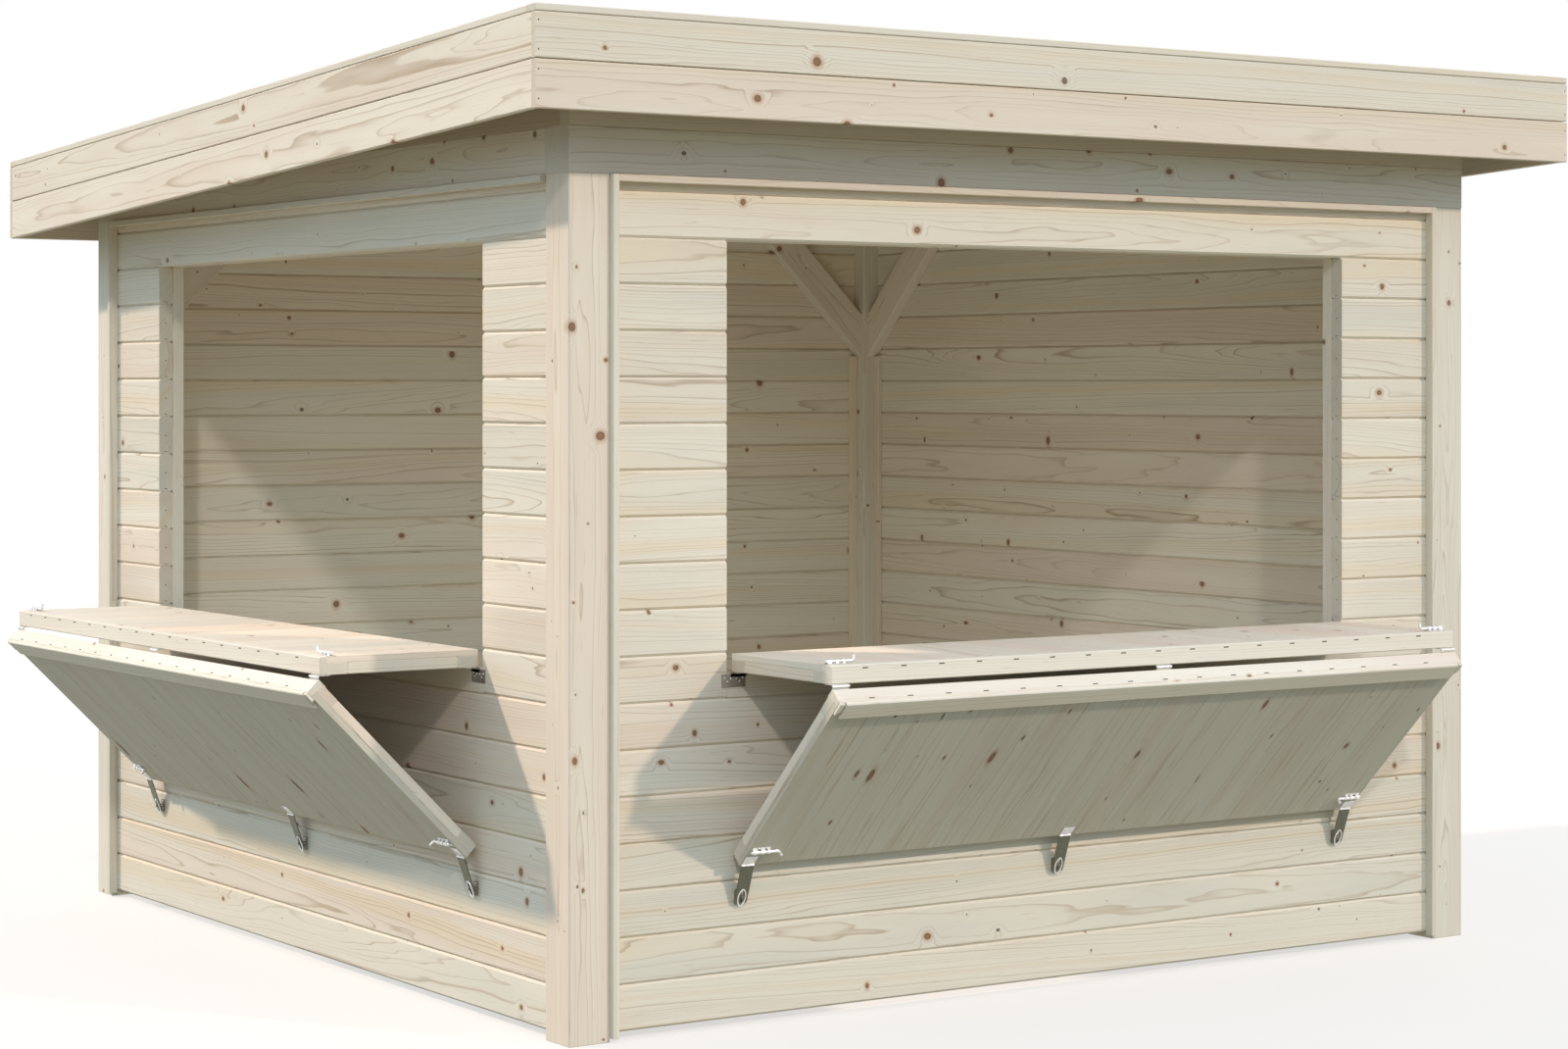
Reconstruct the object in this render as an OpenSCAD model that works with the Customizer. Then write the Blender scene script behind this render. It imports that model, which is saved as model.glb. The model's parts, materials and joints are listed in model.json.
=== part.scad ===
// Square timber garden pavilion with boarded walls, a low mono-pitch roof and two
// folding serving counters, one in the front wall (facing -Y) and one in the left wall.
// Origin on the ground under the middle of the overall box, +Z up, millimetres.

/* [Posts and beams] */
// Width and depth over the corner posts
body_w = 3050; // [2600:10:3600]
// Side of a square corner post
post_w = 118; // [100:1:140]
// Height of a top beam
beam_h = 118; // [90:1:150]
// Width of a knee brace
brace_w = 110; // [70:1:120]
// Thickness of a knee brace
brace_t = 44; // [30:1:60]
// How far a knee brace reaches along its beam and down its post
brace_reach = 415; // [300:5:500]

/* [Walls] */
// Thickness of the wall boards
board_t = 45; // [28:1:50]
// How far the wall boards stand back from the faces of the posts
board_set = 12; // [5:1:20]
// Gap between the lowest board and the ground
ground_gap = 20; // [5:1:40]
// Width of a cover batten
batten_w = 18; // [12:1:30]
// How far a cover batten stands off the boards
batten_t = 28; // [15:1:35]
// Width of a corner batten inside the walls
corner_w = 28; // [15:1:40]
// How far a corner batten stands off the boards inside
corner_t = 18; // [10:1:30]

/* [Openings] */
// Width of the wall left between a post and an opening
pier_w = 351; // [340:1:600]
// Height of the sill of an opening above the ground
sill_h = 895; // [700:5:1000]
// Height of the head of an opening above the ground
head_h = 2000; // [1850:1:2150]
// Height of the wall over an opening, up to the beams
header_h = 156; // [120:1:300]
// Width of a timber of the frame round an opening
jamb_w = 45; // [30:1:60]
// Depth of a timber of the frame round an opening
jamb_d = 38; // [30:1:60]

/* [Roof] */
// Slope of the roof towards the back, in degrees
roof_pitch = 3; // [1:0.5:4]
// How far the roof stands out past the posts
overhang = 215; // [150:5:300]
// Height of the lower edge of the front fascia over the beams
eaves_rise = 17; // [5:1:60]
// Height of a fascia, without the trim on top
fascia_h = 231; // [200:1:260]
// Thickness of a fascia
fascia_t = 19; // [15:1:28]
// Thickness of the roof boards
deck_t = 18; // [15:1:28]
// Width of the trim on the roof edge
trim_w = 45; // [30:1:60]
// Thickness of the trim on the roof edge
trim_t = 18; // [12:1:25]
// Number of rafters
rafter_count = 6; // [4:1:8]
// Thickness of a rafter
rafter_t = 45; // [35:1:60]
// Depth of a rafter tail in the overhang
tail_h = 80; // [60:1:100]

/* [Counters] */
// Gap between the boards and the foot of a prop, which sets how far a counter stands out
foot_gap = 11.6; // [8:0.1:30]
// Thickness of a counter
counter_t = 46; // [40:1:55]
// Thickness of a folding prop panel
prop_t = 42; // [36:1:50]
// Slope of a prop panel under its counter, in degrees
prop_slope = 45; // [43:0.5:50]
// Thickness of the boards of a counter and of a prop
panel_board_t = 16; // [12:1:20]
// Width of the frame timbers under the boards
panel_frame_w = 60; // [40:1:80]
// How far the edge strip of a prop stands out past its boards
lip_h = 10; // [8:1:16]
// Width of the cover strip on the boards of a prop, with its edge strip
lip_w = 55; // [45:1:65]
// Thickness of the edge strip of a prop
lip_t = 18; // [12:1:22]
// Gap between a folding panel and the sides of its opening
side_gap = 10; // [6:1:15]
// Gap between a closed panel and the head of its opening
head_gap = 5; // [5:0.5:10]
// Gap between counter and prop when they lie in line
fold_gap = 8; // [7:0.5:10]
// Gap between a counter and the wall boards
wall_gap = 7; // [6:0.5:10]

/* [Ironwork] */
// Radius of a hinge knuckle
knuckle_r = 3; // [2.6:0.1:3.2]
// Radius of a hinge pin
pin_r = 1.5; // [1:0.1:1.8]
// Length of a hinge along its pin
hinge_w = 50; // [40:1:60]
// Height of a hinge leaf
leaf_h = 32; // [25:1:40]
// Thickness of a hinge leaf
leaf_t = 2; // [1.5:0.1:2.5]
// Width of a hasp strap
strap_w = 38; // [32:1:42]
// Length of a hasp strap
strap_len = 108; // [90:1:120]
// Thickness of a hasp strap
strap_t = 2.5; // [2:0.1:3]
// Length of a barrel bolt
bolt_len = 95; // [70:1:120]
// Distance of a counter's bolt from the edge of its panel
bolt_inset = 38; // [26:1:60]
// Distance of a prop's bolt from its foot, clear of the hasps
prop_bolt_inset = 60; // [54:1:80]
// Diameter of the rod of a barrel bolt
bolt_d = 8; // [6:0.5:10]

/* [Hidden] */
$fn = 32;

pine = "#e6dccb";
pine_end = "#ddcfb8";
zinc = "#c9cdd0";
fit = 0.3;                      // running clearance of knuckles and pins
nudge = 1;                      // overlap of cutting shapes
hair = 0.1;                     // left between sloping faces that meet

// Plan and heights that follow from the walls; the roof's are those of the front fascia's face
body_d = body_w;
opening_w = body_w - 2 * (post_w + pier_w);
post_h = head_h + header_h;
beam_top = post_h + beam_h;
eaves_h = beam_top + eaves_rise;
roof_d = body_d + 2 * overhang;
roof_w = body_w + 2 * overhang;
roof_slope = tan(roof_pitch);
deck_top = eaves_h + fascia_h;
wall_top = post_h;

// The shutters: hinge lines in the section through a wall, out = distance from the boards
sill_hinge_out = 6;
sill_hinge_z = sill_h + 5;
leaf_drop = knuckle_r + 0.5;                    // hinge line under the face of a panel
counter_in = wall_gap;
counter_under = sill_hinge_z + leaf_drop;
fold_z = counter_under - leaf_drop - 1;
fold_drop = leaf_drop + 1;
// Counter and prop together fill the opening when shut; open, the prop's foot meets the boards
shut_reach = head_h - head_gap - sill_hinge_z + sill_hinge_out;
fold_out = (foot_gap + shut_reach * cos(prop_slope) - fold_drop * sin(prop_slope))
    / (1 + cos(prop_slope));                    // hinge line between counter and prop
counter_out = fold_out - fold_gap / 2;
prop_len = shut_reach - fold_out - fold_gap / 2;
panel_w = opening_w - 2 * side_gap;
hinge_x = [-panel_w / 2 + hinge_w / 2, 0, panel_w / 2 - hinge_w / 2];

// Farthest reach of a prop past the posts, at the outer corner of its edge strip
prop_turn = 180 - prop_slope;
lip_top = fold_drop + prop_t + lip_h;
reach = fold_out + fold_gap / 2 * cos(prop_turn) + lip_top * sin(prop_turn) - board_set;

// The hasps: hinge line on the outer face of a prop, at its lower end
hasp_along = fold_gap / 2 + prop_len - 4;
hasp_up = fold_drop + prop_t + knuckle_r + fit;
hasp_out = fold_out + hasp_along * cos(prop_turn) + hasp_up * sin(prop_turn);
hasp_z = fold_z - hasp_along * sin(prop_turn) + hasp_up * cos(prop_turn);
staple_out = 16;                                // where a strap meets its staple
strap_lean = asin((hasp_out - staple_out) / (strap_len - 18));
staple_z = hasp_z - (strap_len - 18) * cos(strap_lean);
hasp_x = [-panel_w / 2 + strap_w / 2 + 4, 0, panel_w / 2 - strap_w / 2 - 4];

// ---------- placing ----------

// Moves a shape from the middle of the plan to the middle of the overall box
module place() translate([(reach - overhang) / 2, (reach - overhang) / 2, 0]) children();

// Draws the front wall's shapes; the left wall is the same, turned a quarter
module front_side() place() children();
module left_side() place() rotate([0, 0, -90]) children();
module back_side() place() rotate([0, 0, 180]) children();
module right_side() place() rotate([0, 0, 90]) children();

// A box from corner to corner
module box(x0, x1, y0, y1, z0, z1) translate([x0, y0, z0]) cube([x1 - x0, y1 - y0, z1 - z0]);

// A box in a wall: x along it, out from the face of its boards, z up
module wall_box(depth, x0, x1, out0, out1, z0, z1)
    box(x0, x1, -depth / 2 + board_set - out1, -depth / 2 + board_set - out0, z0, z1);

// ---------- posts, beams and braces ----------

module post(sx, sy)
    color(pine) place()
        translate([sx * (body_w - post_w) / 2, sy * (body_d - post_w) / 2, post_h / 2])
            cube([post_w, post_w, post_h], center = true);

module post_front_left() post(-1, -1);
module post_front_right() post(1, -1);
module post_back_left() post(-1, 1);
module post_back_right() post(1, 1);

// The front and back beams lie over the posts, the side beams between them
module long_beam(sy)
    color(pine) place()
        translate([0, sy * (body_d - post_w) / 2, post_h + beam_h / 2])
            cube([body_w, post_w, beam_h], center = true);

module short_beam(sx)
    color(pine) place()
        translate([sx * (body_w - post_w) / 2, 0, post_h + beam_h / 2])
            cube([post_w, body_d - 2 * post_w, beam_h], center = true);

module beam_front() long_beam(-1);
module beam_back() long_beam(1);
module beam_left() short_beam(-1);
module beam_right() short_beam(1);

// One diagonal between a post and its beam, inside the wall; side gives the end of the wall
module knee_brace(width, depth, side) {
    in_face = depth / 2 - board_set - board_t;
    foot = width / 2 - post_w;
    across = brace_w / sin(45);
    mirror([side > 0 ? 1 : 0, 0, 0])
        translate([0, -in_face + brace_t, 0]) rotate([90, 0, 0]) linear_extrude(brace_t)
            polygon([
                [-foot, post_h - brace_reach], [-foot, post_h - brace_reach + across],
                [-foot + brace_reach - across, post_h], [-foot + brace_reach, post_h]
            ]);
}

module knee_braces() color(pine) {
    front_side() for (side = [-1, 1]) knee_brace(body_w, body_d, side);
    back_side() for (side = [-1, 1]) knee_brace(body_w, body_d, side);
    left_side() for (side = [-1, 1]) knee_brace(body_d, body_w, side);
    right_side() for (side = [-1, 1]) knee_brace(body_d, body_w, side);
}

// ---------- walls ----------

module wall_slab(width, depth, x0, x1, z0, z1)
    color(pine) wall_box(depth, x0, x1, -board_t, 0, z0, z1);

function wall_end(width) = width / 2 - post_w;

module wall_sill(width, depth)
    wall_slab(width, depth, -wall_end(width), wall_end(width), ground_gap, sill_h);

module wall_header(width, depth)
    wall_slab(width, depth, -wall_end(width), wall_end(width), head_h, wall_top);

module wall_pier(width, depth, side)
    mirror([side > 0 ? 1 : 0, 0, 0])
        wall_slab(width, depth, -wall_end(width), -opening_w / 2, sill_h, head_h);

module full_wall(width, depth)
    wall_slab(width, depth, -wall_end(width), wall_end(width), ground_gap, wall_top);

module front_wall_sill() front_side() wall_sill(body_w, body_d);
module front_wall_left_pier() front_side() wall_pier(body_w, body_d, -1);
module front_wall_right_pier() front_side() wall_pier(body_w, body_d, 1);
module front_wall_header() front_side() wall_header(body_w, body_d);
module left_wall_sill() left_side() wall_sill(body_d, body_w);
module left_wall_back_pier() left_side() wall_pier(body_d, body_w, -1);
module left_wall_front_pier() left_side() wall_pier(body_d, body_w, 1);
module left_wall_header() left_side() wall_header(body_d, body_w);
module back_wall() back_side() full_wall(body_w, body_d);
module right_wall() right_side() full_wall(body_d, body_w);

// Battens on a wall: outside under its beam and down the ends named, inside in both corners
module wall_battens(width, depth, ends = [0, 1]) {
    half = wall_end(width);
    for (side = ends) mirror([side, 0, 0])
        wall_box(depth, -half, -half + batten_w, 0, batten_t, ground_gap / 2, wall_top);
    wall_box(depth, -half, half, 0, batten_t, wall_top - batten_w, wall_top);
    for (side = [0, 1]) mirror([side, 0, 0])
        wall_box(depth, -half, -half + corner_w, -board_t - corner_t, -board_t, ground_gap,
            post_h - brace_reach);
}

module cover_battens() color(pine_end) {
    front_side() wall_battens(body_w, body_d);
    back_side() wall_battens(body_w, body_d);
    left_side() wall_battens(body_d, body_w, [0]);
    right_side() wall_battens(body_d, body_w);
}

// Studs and head rail behind the boards, round an opening
module opening_frame(depth) color(pine) {
    half = opening_w / 2;
    for (side = [0, 1]) mirror([side, 0, 0])
        wall_box(depth, -half - jamb_w, -half, -board_t - jamb_d, -board_t, ground_gap, head_h);
    wall_box(depth, -half - jamb_w, half + jamb_w, -board_t - jamb_d, -board_t,
        head_h, head_h + jamb_w);
}

module front_opening_frame() front_side() opening_frame(body_d);
module left_opening_frame() left_side() opening_frame(body_w);

// ---------- roof ----------

// Height of the underside of the roof boards at a place along the depth
function deck_under(y) = deck_top - deck_t - (y + roof_d / 2) * roof_slope;

// A flat strip that follows the slope: its outline in the section through the depth
module sloped(x0, x1, y0, y1, below, thick)
    translate([x1, 0, 0]) rotate([90, 0, -90]) linear_extrude(x1 - x0)
        polygon([
            [-y0, deck_under(y0) + below], [-y1, deck_under(y1) + below],
            [-y1, deck_under(y1) + below + thick], [-y0, deck_under(y0) + below + thick]
        ]);

module rafter(x) {
    y0 = -roof_d / 2 + fascia_t;
    y1 = roof_d / 2 - fascia_t;
    front = -body_d / 2;
    translate([x + rafter_t / 2, 0, 0]) rotate([90, 0, -90]) linear_extrude(rafter_t)
        polygon([
            [-y0, deck_under(y0) - tail_h], [-y0, deck_under(y0)], [-y1, deck_under(y1)],
            [-y1, beam_top], [-front, beam_top], [-front, deck_under(front) - tail_h]
        ]);
}

rafter_step = (body_w - rafter_t) / (rafter_count - 1);
function rafter_x(i) = -(body_w - rafter_t) / 2 + i * rafter_step;

module rafters() color(pine) place()
    for (i = [0 : rafter_count - 1]) rafter(rafter_x(i));

// Blocks on the front and back beams that close the space between the rafters
module eaves_blocks() color(pine) place()
    for (i = [0 : rafter_count - 2]) {
        x0 = rafter_x(i) + rafter_t / 2;
        x1 = rafter_x(i + 1) - rafter_t / 2;
        for (y0 = [-body_d / 2 + board_set, body_d / 2 - board_set - board_t])
            translate([x1, 0, 0]) rotate([90, 0, -90]) linear_extrude(x1 - x0)
                polygon([
                    [-y0, beam_top], [-y0 - board_t, beam_top],
                    [-y0 - board_t, deck_under(y0 + board_t) - hair],
                    [-y0, deck_under(y0) - hair]
                ]);
    }

module roof_deck() color(pine_end) place()
    sloped(-roof_w / 2 + fascia_t, roof_w / 2 - fascia_t,
        -roof_d / 2 + fascia_t, roof_d / 2 - fascia_t, 0, deck_t);

// The front and back fascias cover the ends of the side ones
module fascia_front() color(pine) place()
    sloped(-roof_w / 2, roof_w / 2, -roof_d / 2, -roof_d / 2 + fascia_t,
        deck_t - fascia_h, fascia_h);
module fascia_back() color(pine) place()
    sloped(-roof_w / 2, roof_w / 2, roof_d / 2 - fascia_t, roof_d / 2,
        deck_t - fascia_h, fascia_h);
module side_fascia() sloped(-roof_w / 2, -roof_w / 2 + fascia_t,
    -roof_d / 2 + fascia_t, roof_d / 2 - fascia_t, deck_t - fascia_h, fascia_h);
module fascia_left() color(pine) place() side_fascia();
module fascia_right() color(pine) place() mirror([1, 0, 0]) side_fascia();

module roof_trim() color(pine_end) place() {
    difference() {
        sloped(-roof_w / 2, roof_w / 2, -roof_d / 2, roof_d / 2,
            deck_t + hair, trim_t - hair);
        sloped(-roof_w / 2 + trim_w, roof_w / 2 - trim_w,
            -roof_d / 2 + trim_w, roof_d / 2 - trim_w, deck_t - nudge, trim_t + 2 * nudge);
    }
}

// ---------- folding counters ----------

// A round bar along the wall, in the section coordinates out and z
module bar(depth, x0, x1, out, z, r)
    translate([x0, -depth / 2 + board_set - out, z]) rotate([0, 90, 0]) cylinder(r = r, h = x1 - x0);

// Turns a prop's shapes, drawn in line with the counter, down under it
module folded(depth)
    translate([0, -depth / 2 + board_set - fold_out, fold_z])
        rotate([prop_turn, 0, 0]) children();

// A box of a prop: along its length from the fold, up from its back face
module prop_box(x0, x1, along0, along1, up0, up1)
    box(x0, x1, -along1, -along0, fold_drop + up0, fold_drop + up1);

module counter_boards(depth) color(pine)
    wall_box(depth, -panel_w / 2, panel_w / 2, counter_in, counter_out - lip_t,
        counter_under + counter_t - panel_board_t, counter_under + counter_t);

// Frame timbers under the boards, and the strip along the outer edge
module counter_frame(depth) color(pine_end) {
    top = counter_under + counter_t - panel_board_t;
    half = panel_w / 2;
    difference() {
        wall_box(depth, -half, half, counter_in, counter_out - lip_t, counter_under, top);
        for (side = [0, 1]) mirror([side, 0, 0])
            wall_box(depth, -half + panel_frame_w, -panel_frame_w / 2,
                counter_in + panel_frame_w, counter_out - lip_t - panel_frame_w,
                counter_under - nudge, top + nudge);
    }
    wall_box(depth, -half, half, counter_out - lip_t, counter_out,
        counter_under, counter_under + counter_t);
}

prop_near = fold_gap / 2;
prop_far = fold_gap / 2 + prop_len;

module prop_boards(depth) color(pine) folded(depth)
    prop_box(-panel_w / 2, panel_w / 2, prop_near + lip_t, prop_far,
        prop_t - panel_board_t, prop_t);

module prop_frame(depth) color(pine_end) folded(depth) {
    half = panel_w / 2;
    deep = prop_t - panel_board_t;
    difference() {
        prop_box(-half, half, prop_near + lip_t, prop_far, 0, deep);
        for (side = [0, 1]) mirror([side, 0, 0])
            prop_box(-half + panel_frame_w, -panel_frame_w / 2,
                prop_near + lip_t + panel_frame_w, prop_far - panel_frame_w, -nudge, deep + nudge);
    }
    prop_box(-half, half, prop_near, prop_near + lip_t, 0, prop_t + lip_h);
    prop_box(-half, half, prop_near + lip_t, prop_near + lip_w, prop_t, prop_t + lip_h);
}

// Knuckles of a hinge: three on one side and two on the other, between them
knuckle_w = hinge_w / 5;
module knuckles(x, odd, out, z, depth)
    for (i = [0 : 4]) if ((i % 2 == 0) == odd)
        difference() {
            bar(depth, x - hinge_w / 2 + i * knuckle_w + fit / 2,
                x - hinge_w / 2 + (i + 1) * knuckle_w - fit / 2, out, z, knuckle_r);
            if (!odd) bar(depth, x - hinge_w / 2, x + hinge_w / 2, out, z, pin_r + fit);
        }

// Tabs that join the knuckles of one side to their leaf
module tabs(x, odd, depth, out0, out1, z0, z1)
    for (i = [0 : 4]) if ((i % 2 == 0) == odd)
        wall_box(depth, x - hinge_w / 2 + i * knuckle_w + fit / 2,
            x - hinge_w / 2 + (i + 1) * knuckle_w - fit / 2, out0, out1, z0, z1);

// The hinge leaves on the wall, with their pins, and the staples of the hasps
module wall_ironwork(depth) color(zinc) {
    for (x = hinge_x) {
        difference() {
            wall_box(depth, x - hinge_w / 2, x + hinge_w / 2, 0, leaf_t,
                sill_hinge_z - knuckle_r - leaf_h, sill_hinge_z - knuckle_r);
            for (dx = [-1, 0, 1])
                translate([x + dx * hinge_w / 3, -depth / 2 + board_set + nudge,
                    sill_hinge_z - knuckle_r - leaf_h / 2 - abs(dx) * 6 + 3])
                    rotate([90, 0, 0]) cylinder(r = 2.4, h = leaf_t + 2 * nudge);
        }
        tabs(x, true, depth, 0, sill_hinge_out, sill_hinge_z - knuckle_r,
            sill_hinge_z - knuckle_r + leaf_t);
        knuckles(x, true, sill_hinge_out, sill_hinge_z, depth);
        bar(depth, x - hinge_w / 2, x + hinge_w / 2, sill_hinge_out, sill_hinge_z, pin_r);
    }
    for (x = hasp_x) staple(depth, x);
}

// A staple: a plate on the wall and a loop that goes through the slot of the strap
staple_half = 5;
staple_wire = 3;
slot_w = 8;
slot_h = 32;
module staple(depth, x) {
    wall_box(depth, x - 13, x + 13, 0, leaf_t, staple_z - 20, staple_z + 20);
    wall_box(depth, x - staple_wire / 2, x + staple_wire / 2, leaf_t - nudge, staple_out + 9,
        staple_z - staple_half, staple_z + staple_half);
}

// The hinge leaves and barrel bolts of a counter
module counter_ironwork(depth) color(zinc) {
    for (x = hinge_x) {
        wall_box(depth, x - hinge_w / 2, x + hinge_w / 2, sill_hinge_out + knuckle_r,
            sill_hinge_out + knuckle_r + leaf_h, counter_under - leaf_t, counter_under);
        tabs(x, false, depth, sill_hinge_out + pin_r + fit + 0.5, sill_hinge_out + knuckle_r,
            counter_under - leaf_t, counter_under);
        knuckles(x, false, sill_hinge_out, sill_hinge_z, depth);
        wall_box(depth, x - hinge_w / 2, x + hinge_w / 2, fold_out - knuckle_r - leaf_h,
            fold_out - knuckle_r, counter_under - leaf_t, counter_under);
        tabs(x, true, depth, fold_out - knuckle_r, fold_out - pin_r, counter_under - leaf_t - 1,
            counter_under - 1);
        knuckles(x, true, fold_out, fold_z, depth);
        bar(depth, x - hinge_w / 2, x + hinge_w / 2, fold_out, fold_z, pin_r);
    }
    for (side = [0, 1]) mirror([side, 0, 0])
        translate([-panel_w / 2, -depth / 2 + board_set - counter_out + bolt_inset,
            counter_under + counter_t]) barrel_bolt();
}

// A barrel bolt along x on a flat face: plate, guides, rod and knob
rod_up = leaf_t + bolt_d / 2 + 1;
module barrel_bolt() {
    translate([8, -12, 0]) cube([bolt_len - 20, 24, leaf_t]);
    for (x = [10, bolt_len / 2, bolt_len - 26]) translate([x, -8, leaf_t - 0.5])
        cube([10, 16, bolt_d + 3]);
    translate([2, 0, rod_up]) rotate([0, 90, 0]) cylinder(d = bolt_d, h = bolt_len - 10);
    translate([bolt_len - 14, 0, rod_up]) cylinder(d = bolt_d - 2, h = 14);
}

module prop_ironwork(depth) color(zinc) folded(depth) {
    for (x = hinge_x) {
        prop_box(x - hinge_w / 2, x + hinge_w / 2, knuckle_r, knuckle_r + leaf_h, -leaf_t, 0);
        for (i = [1, 3]) {
            x0 = x - hinge_w / 2 + i * knuckle_w + fit / 2;
            x1 = x0 + knuckle_w - fit;
            difference() {
                union() {
                    prop_box(x0, x1, pin_r + fit + 0.5, knuckle_r, -leaf_t - 1, -1);
                    prop_box(x0, x1, pin_r + fit + 0.5, knuckle_r + leaf_t, -leaf_t, 0);
                    translate([x0, 0, 0]) rotate([0, 90, 0]) cylinder(r = knuckle_r, h = x1 - x0);
                }
                translate([x0 - nudge, 0, 0]) rotate([0, 90, 0])
                    cylinder(r = pin_r + fit, h = x1 - x0 + 2 * nudge);
            }
        }
    }
    for (x = hasp_x) {
        prop_box(x - strap_w / 2, x + strap_w / 2, hasp_along - leaf_h, hasp_along - knuckle_r - 1,
            prop_t, prop_t + leaf_t);
        for (side = [-1, 1]) {
            prop_box(x + side * strap_w / 3 - strap_w / 6 + fit, x + side * strap_w / 3 + strap_w / 6 - fit,
                hasp_along - knuckle_r - 2, hasp_along - pin_r, prop_t + 0.2, prop_t + leaf_t - 0.2);
            translate([x + side * strap_w / 3, -hasp_along, hasp_up]) rotate([0, 90, 0])
                cylinder(r = knuckle_r, h = strap_w / 3 - fit, center = true);
        }
        translate([x, -hasp_along, hasp_up]) rotate([0, 90, 0])
            cylinder(r = pin_r, h = strap_w - fit, center = true);
    }
    for (side = [0, 1]) mirror([side, 0, 0])
        translate([-panel_w / 2, -prop_far + prop_bolt_inset, fold_drop + prop_t]) barrel_bolt();
}

// A hasp strap with its slot, hanging from its knuckle to the staple
module hasps(depth) color(zinc) {
    eye_w = strap_w / 3 - fit;
    top = knuckle_r + 0.8;
    for (x = hasp_x)
        translate([x, -depth / 2 + board_set - hasp_out, hasp_z]) rotate([strap_lean, 0, 0])
            difference() {
                union() {
                    rotate([0, 90, 0]) cylinder(r = knuckle_r, h = eye_w, center = true);
                    translate([-eye_w / 2 + fit, -strap_t / 2, -top - nudge])
                        cube([eye_w - 2 * fit, strap_t, top + nudge - pin_r - fit - 0.3]);
                    translate([-strap_w / 2, -strap_t / 2, -strap_len])
                        cube([strap_w, strap_t, strap_len - top]);
                }
                rotate([0, 90, 0]) cylinder(r = pin_r + fit, h = strap_w, center = true);
                translate([-slot_w / 2, -strap_t, -strap_len + 5]) cube([slot_w, 2 * strap_t, slot_h]);
            }
}

module front_counter_boards() front_side() counter_boards(body_d);
module front_counter_frame() front_side() counter_frame(body_d);
module front_counter_ironwork() front_side() counter_ironwork(body_d);
module front_prop_boards() front_side() prop_boards(body_d);
module front_prop_frame() front_side() prop_frame(body_d);
module front_prop_ironwork() front_side() prop_ironwork(body_d);
module front_hasps() front_side() hasps(body_d);
module front_wall_ironwork() front_side() wall_ironwork(body_d);
module left_counter_boards() left_side() counter_boards(body_w);
module left_counter_frame() left_side() counter_frame(body_w);
module left_counter_ironwork() left_side() counter_ironwork(body_w);
module left_prop_boards() left_side() prop_boards(body_w);
module left_prop_frame() left_side() prop_frame(body_w);
module left_prop_ironwork() left_side() prop_ironwork(body_w);
module left_hasps() left_side() hasps(body_w);
module left_wall_ironwork() left_side() wall_ironwork(body_w);

post_front_left();
post_front_right();
post_back_left();
post_back_right();
beam_front();
beam_back();
beam_left();
beam_right();
knee_braces();
front_wall_sill();
front_wall_left_pier();
front_wall_right_pier();
front_wall_header();
left_wall_sill();
left_wall_back_pier();
left_wall_front_pier();
left_wall_header();
back_wall();
right_wall();
cover_battens();
front_opening_frame();
left_opening_frame();
rafters();
eaves_blocks();
roof_deck();
fascia_front();
fascia_back();
fascia_left();
fascia_right();
roof_trim();
front_counter_boards();
front_counter_frame();
front_counter_ironwork();
front_prop_boards();
front_prop_frame();
front_prop_ironwork();
front_hasps();
front_wall_ironwork();
left_counter_boards();
left_counter_frame();
left_counter_ironwork();
left_prop_boards();
left_prop_frame();
left_prop_ironwork();
left_hasps();
left_wall_ironwork();
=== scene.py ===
import json
import math
import bpy
import numpy as np
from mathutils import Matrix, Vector


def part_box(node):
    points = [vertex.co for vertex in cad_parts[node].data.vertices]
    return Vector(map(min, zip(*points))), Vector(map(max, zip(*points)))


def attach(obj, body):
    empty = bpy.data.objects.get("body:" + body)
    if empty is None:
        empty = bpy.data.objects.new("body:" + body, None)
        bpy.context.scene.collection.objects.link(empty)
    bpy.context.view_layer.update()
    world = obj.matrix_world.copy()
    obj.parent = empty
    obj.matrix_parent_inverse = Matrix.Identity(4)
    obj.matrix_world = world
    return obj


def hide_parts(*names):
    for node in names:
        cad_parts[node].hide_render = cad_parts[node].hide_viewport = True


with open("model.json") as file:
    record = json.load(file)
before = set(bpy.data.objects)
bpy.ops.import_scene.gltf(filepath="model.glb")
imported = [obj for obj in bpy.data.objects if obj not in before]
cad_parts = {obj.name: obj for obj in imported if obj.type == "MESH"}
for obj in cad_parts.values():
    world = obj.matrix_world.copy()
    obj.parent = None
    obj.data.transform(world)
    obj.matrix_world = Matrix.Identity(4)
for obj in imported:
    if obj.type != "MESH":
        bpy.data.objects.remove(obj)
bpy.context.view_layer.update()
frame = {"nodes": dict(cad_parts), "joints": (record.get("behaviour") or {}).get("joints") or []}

print("frame loaded:", len(frame["nodes"]), "nodes")

alongX, alongY, up = np.eye(3)


def lowHigh(node):
    low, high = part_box(node)
    return np.array(low), np.array(high)


frontBeam, backBeam = lowHigh("beam_front"), lowHigh("beam_back")
planCentre = np.array([(frontBeam[0][0] + frontBeam[1][0]) / 2,
                       (frontBeam[0][1] + backBeam[1][1]) / 2, 0.0])
frontSill, frontHeader = lowHigh("front_wall_sill"), lowHigh("front_wall_header")
frontPier = lowHigh("front_wall_left_pier")
boardFace = planCentre[1] - frontSill[0][1]      # from the centre to the outer face of the boards
wallEnd = planCentre[0] - frontSill[0][0]        # from the centre to a post
wallThick = frontSill[1][1] - frontSill[0][1]
sillTop, headUnder = frontPier[0][2], frontPier[1][2]
openingHalf = planCentre[0] - frontPier[1][0]
wallFoot, wallTop = frontSill[0][2], frontHeader[1][2]


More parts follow.
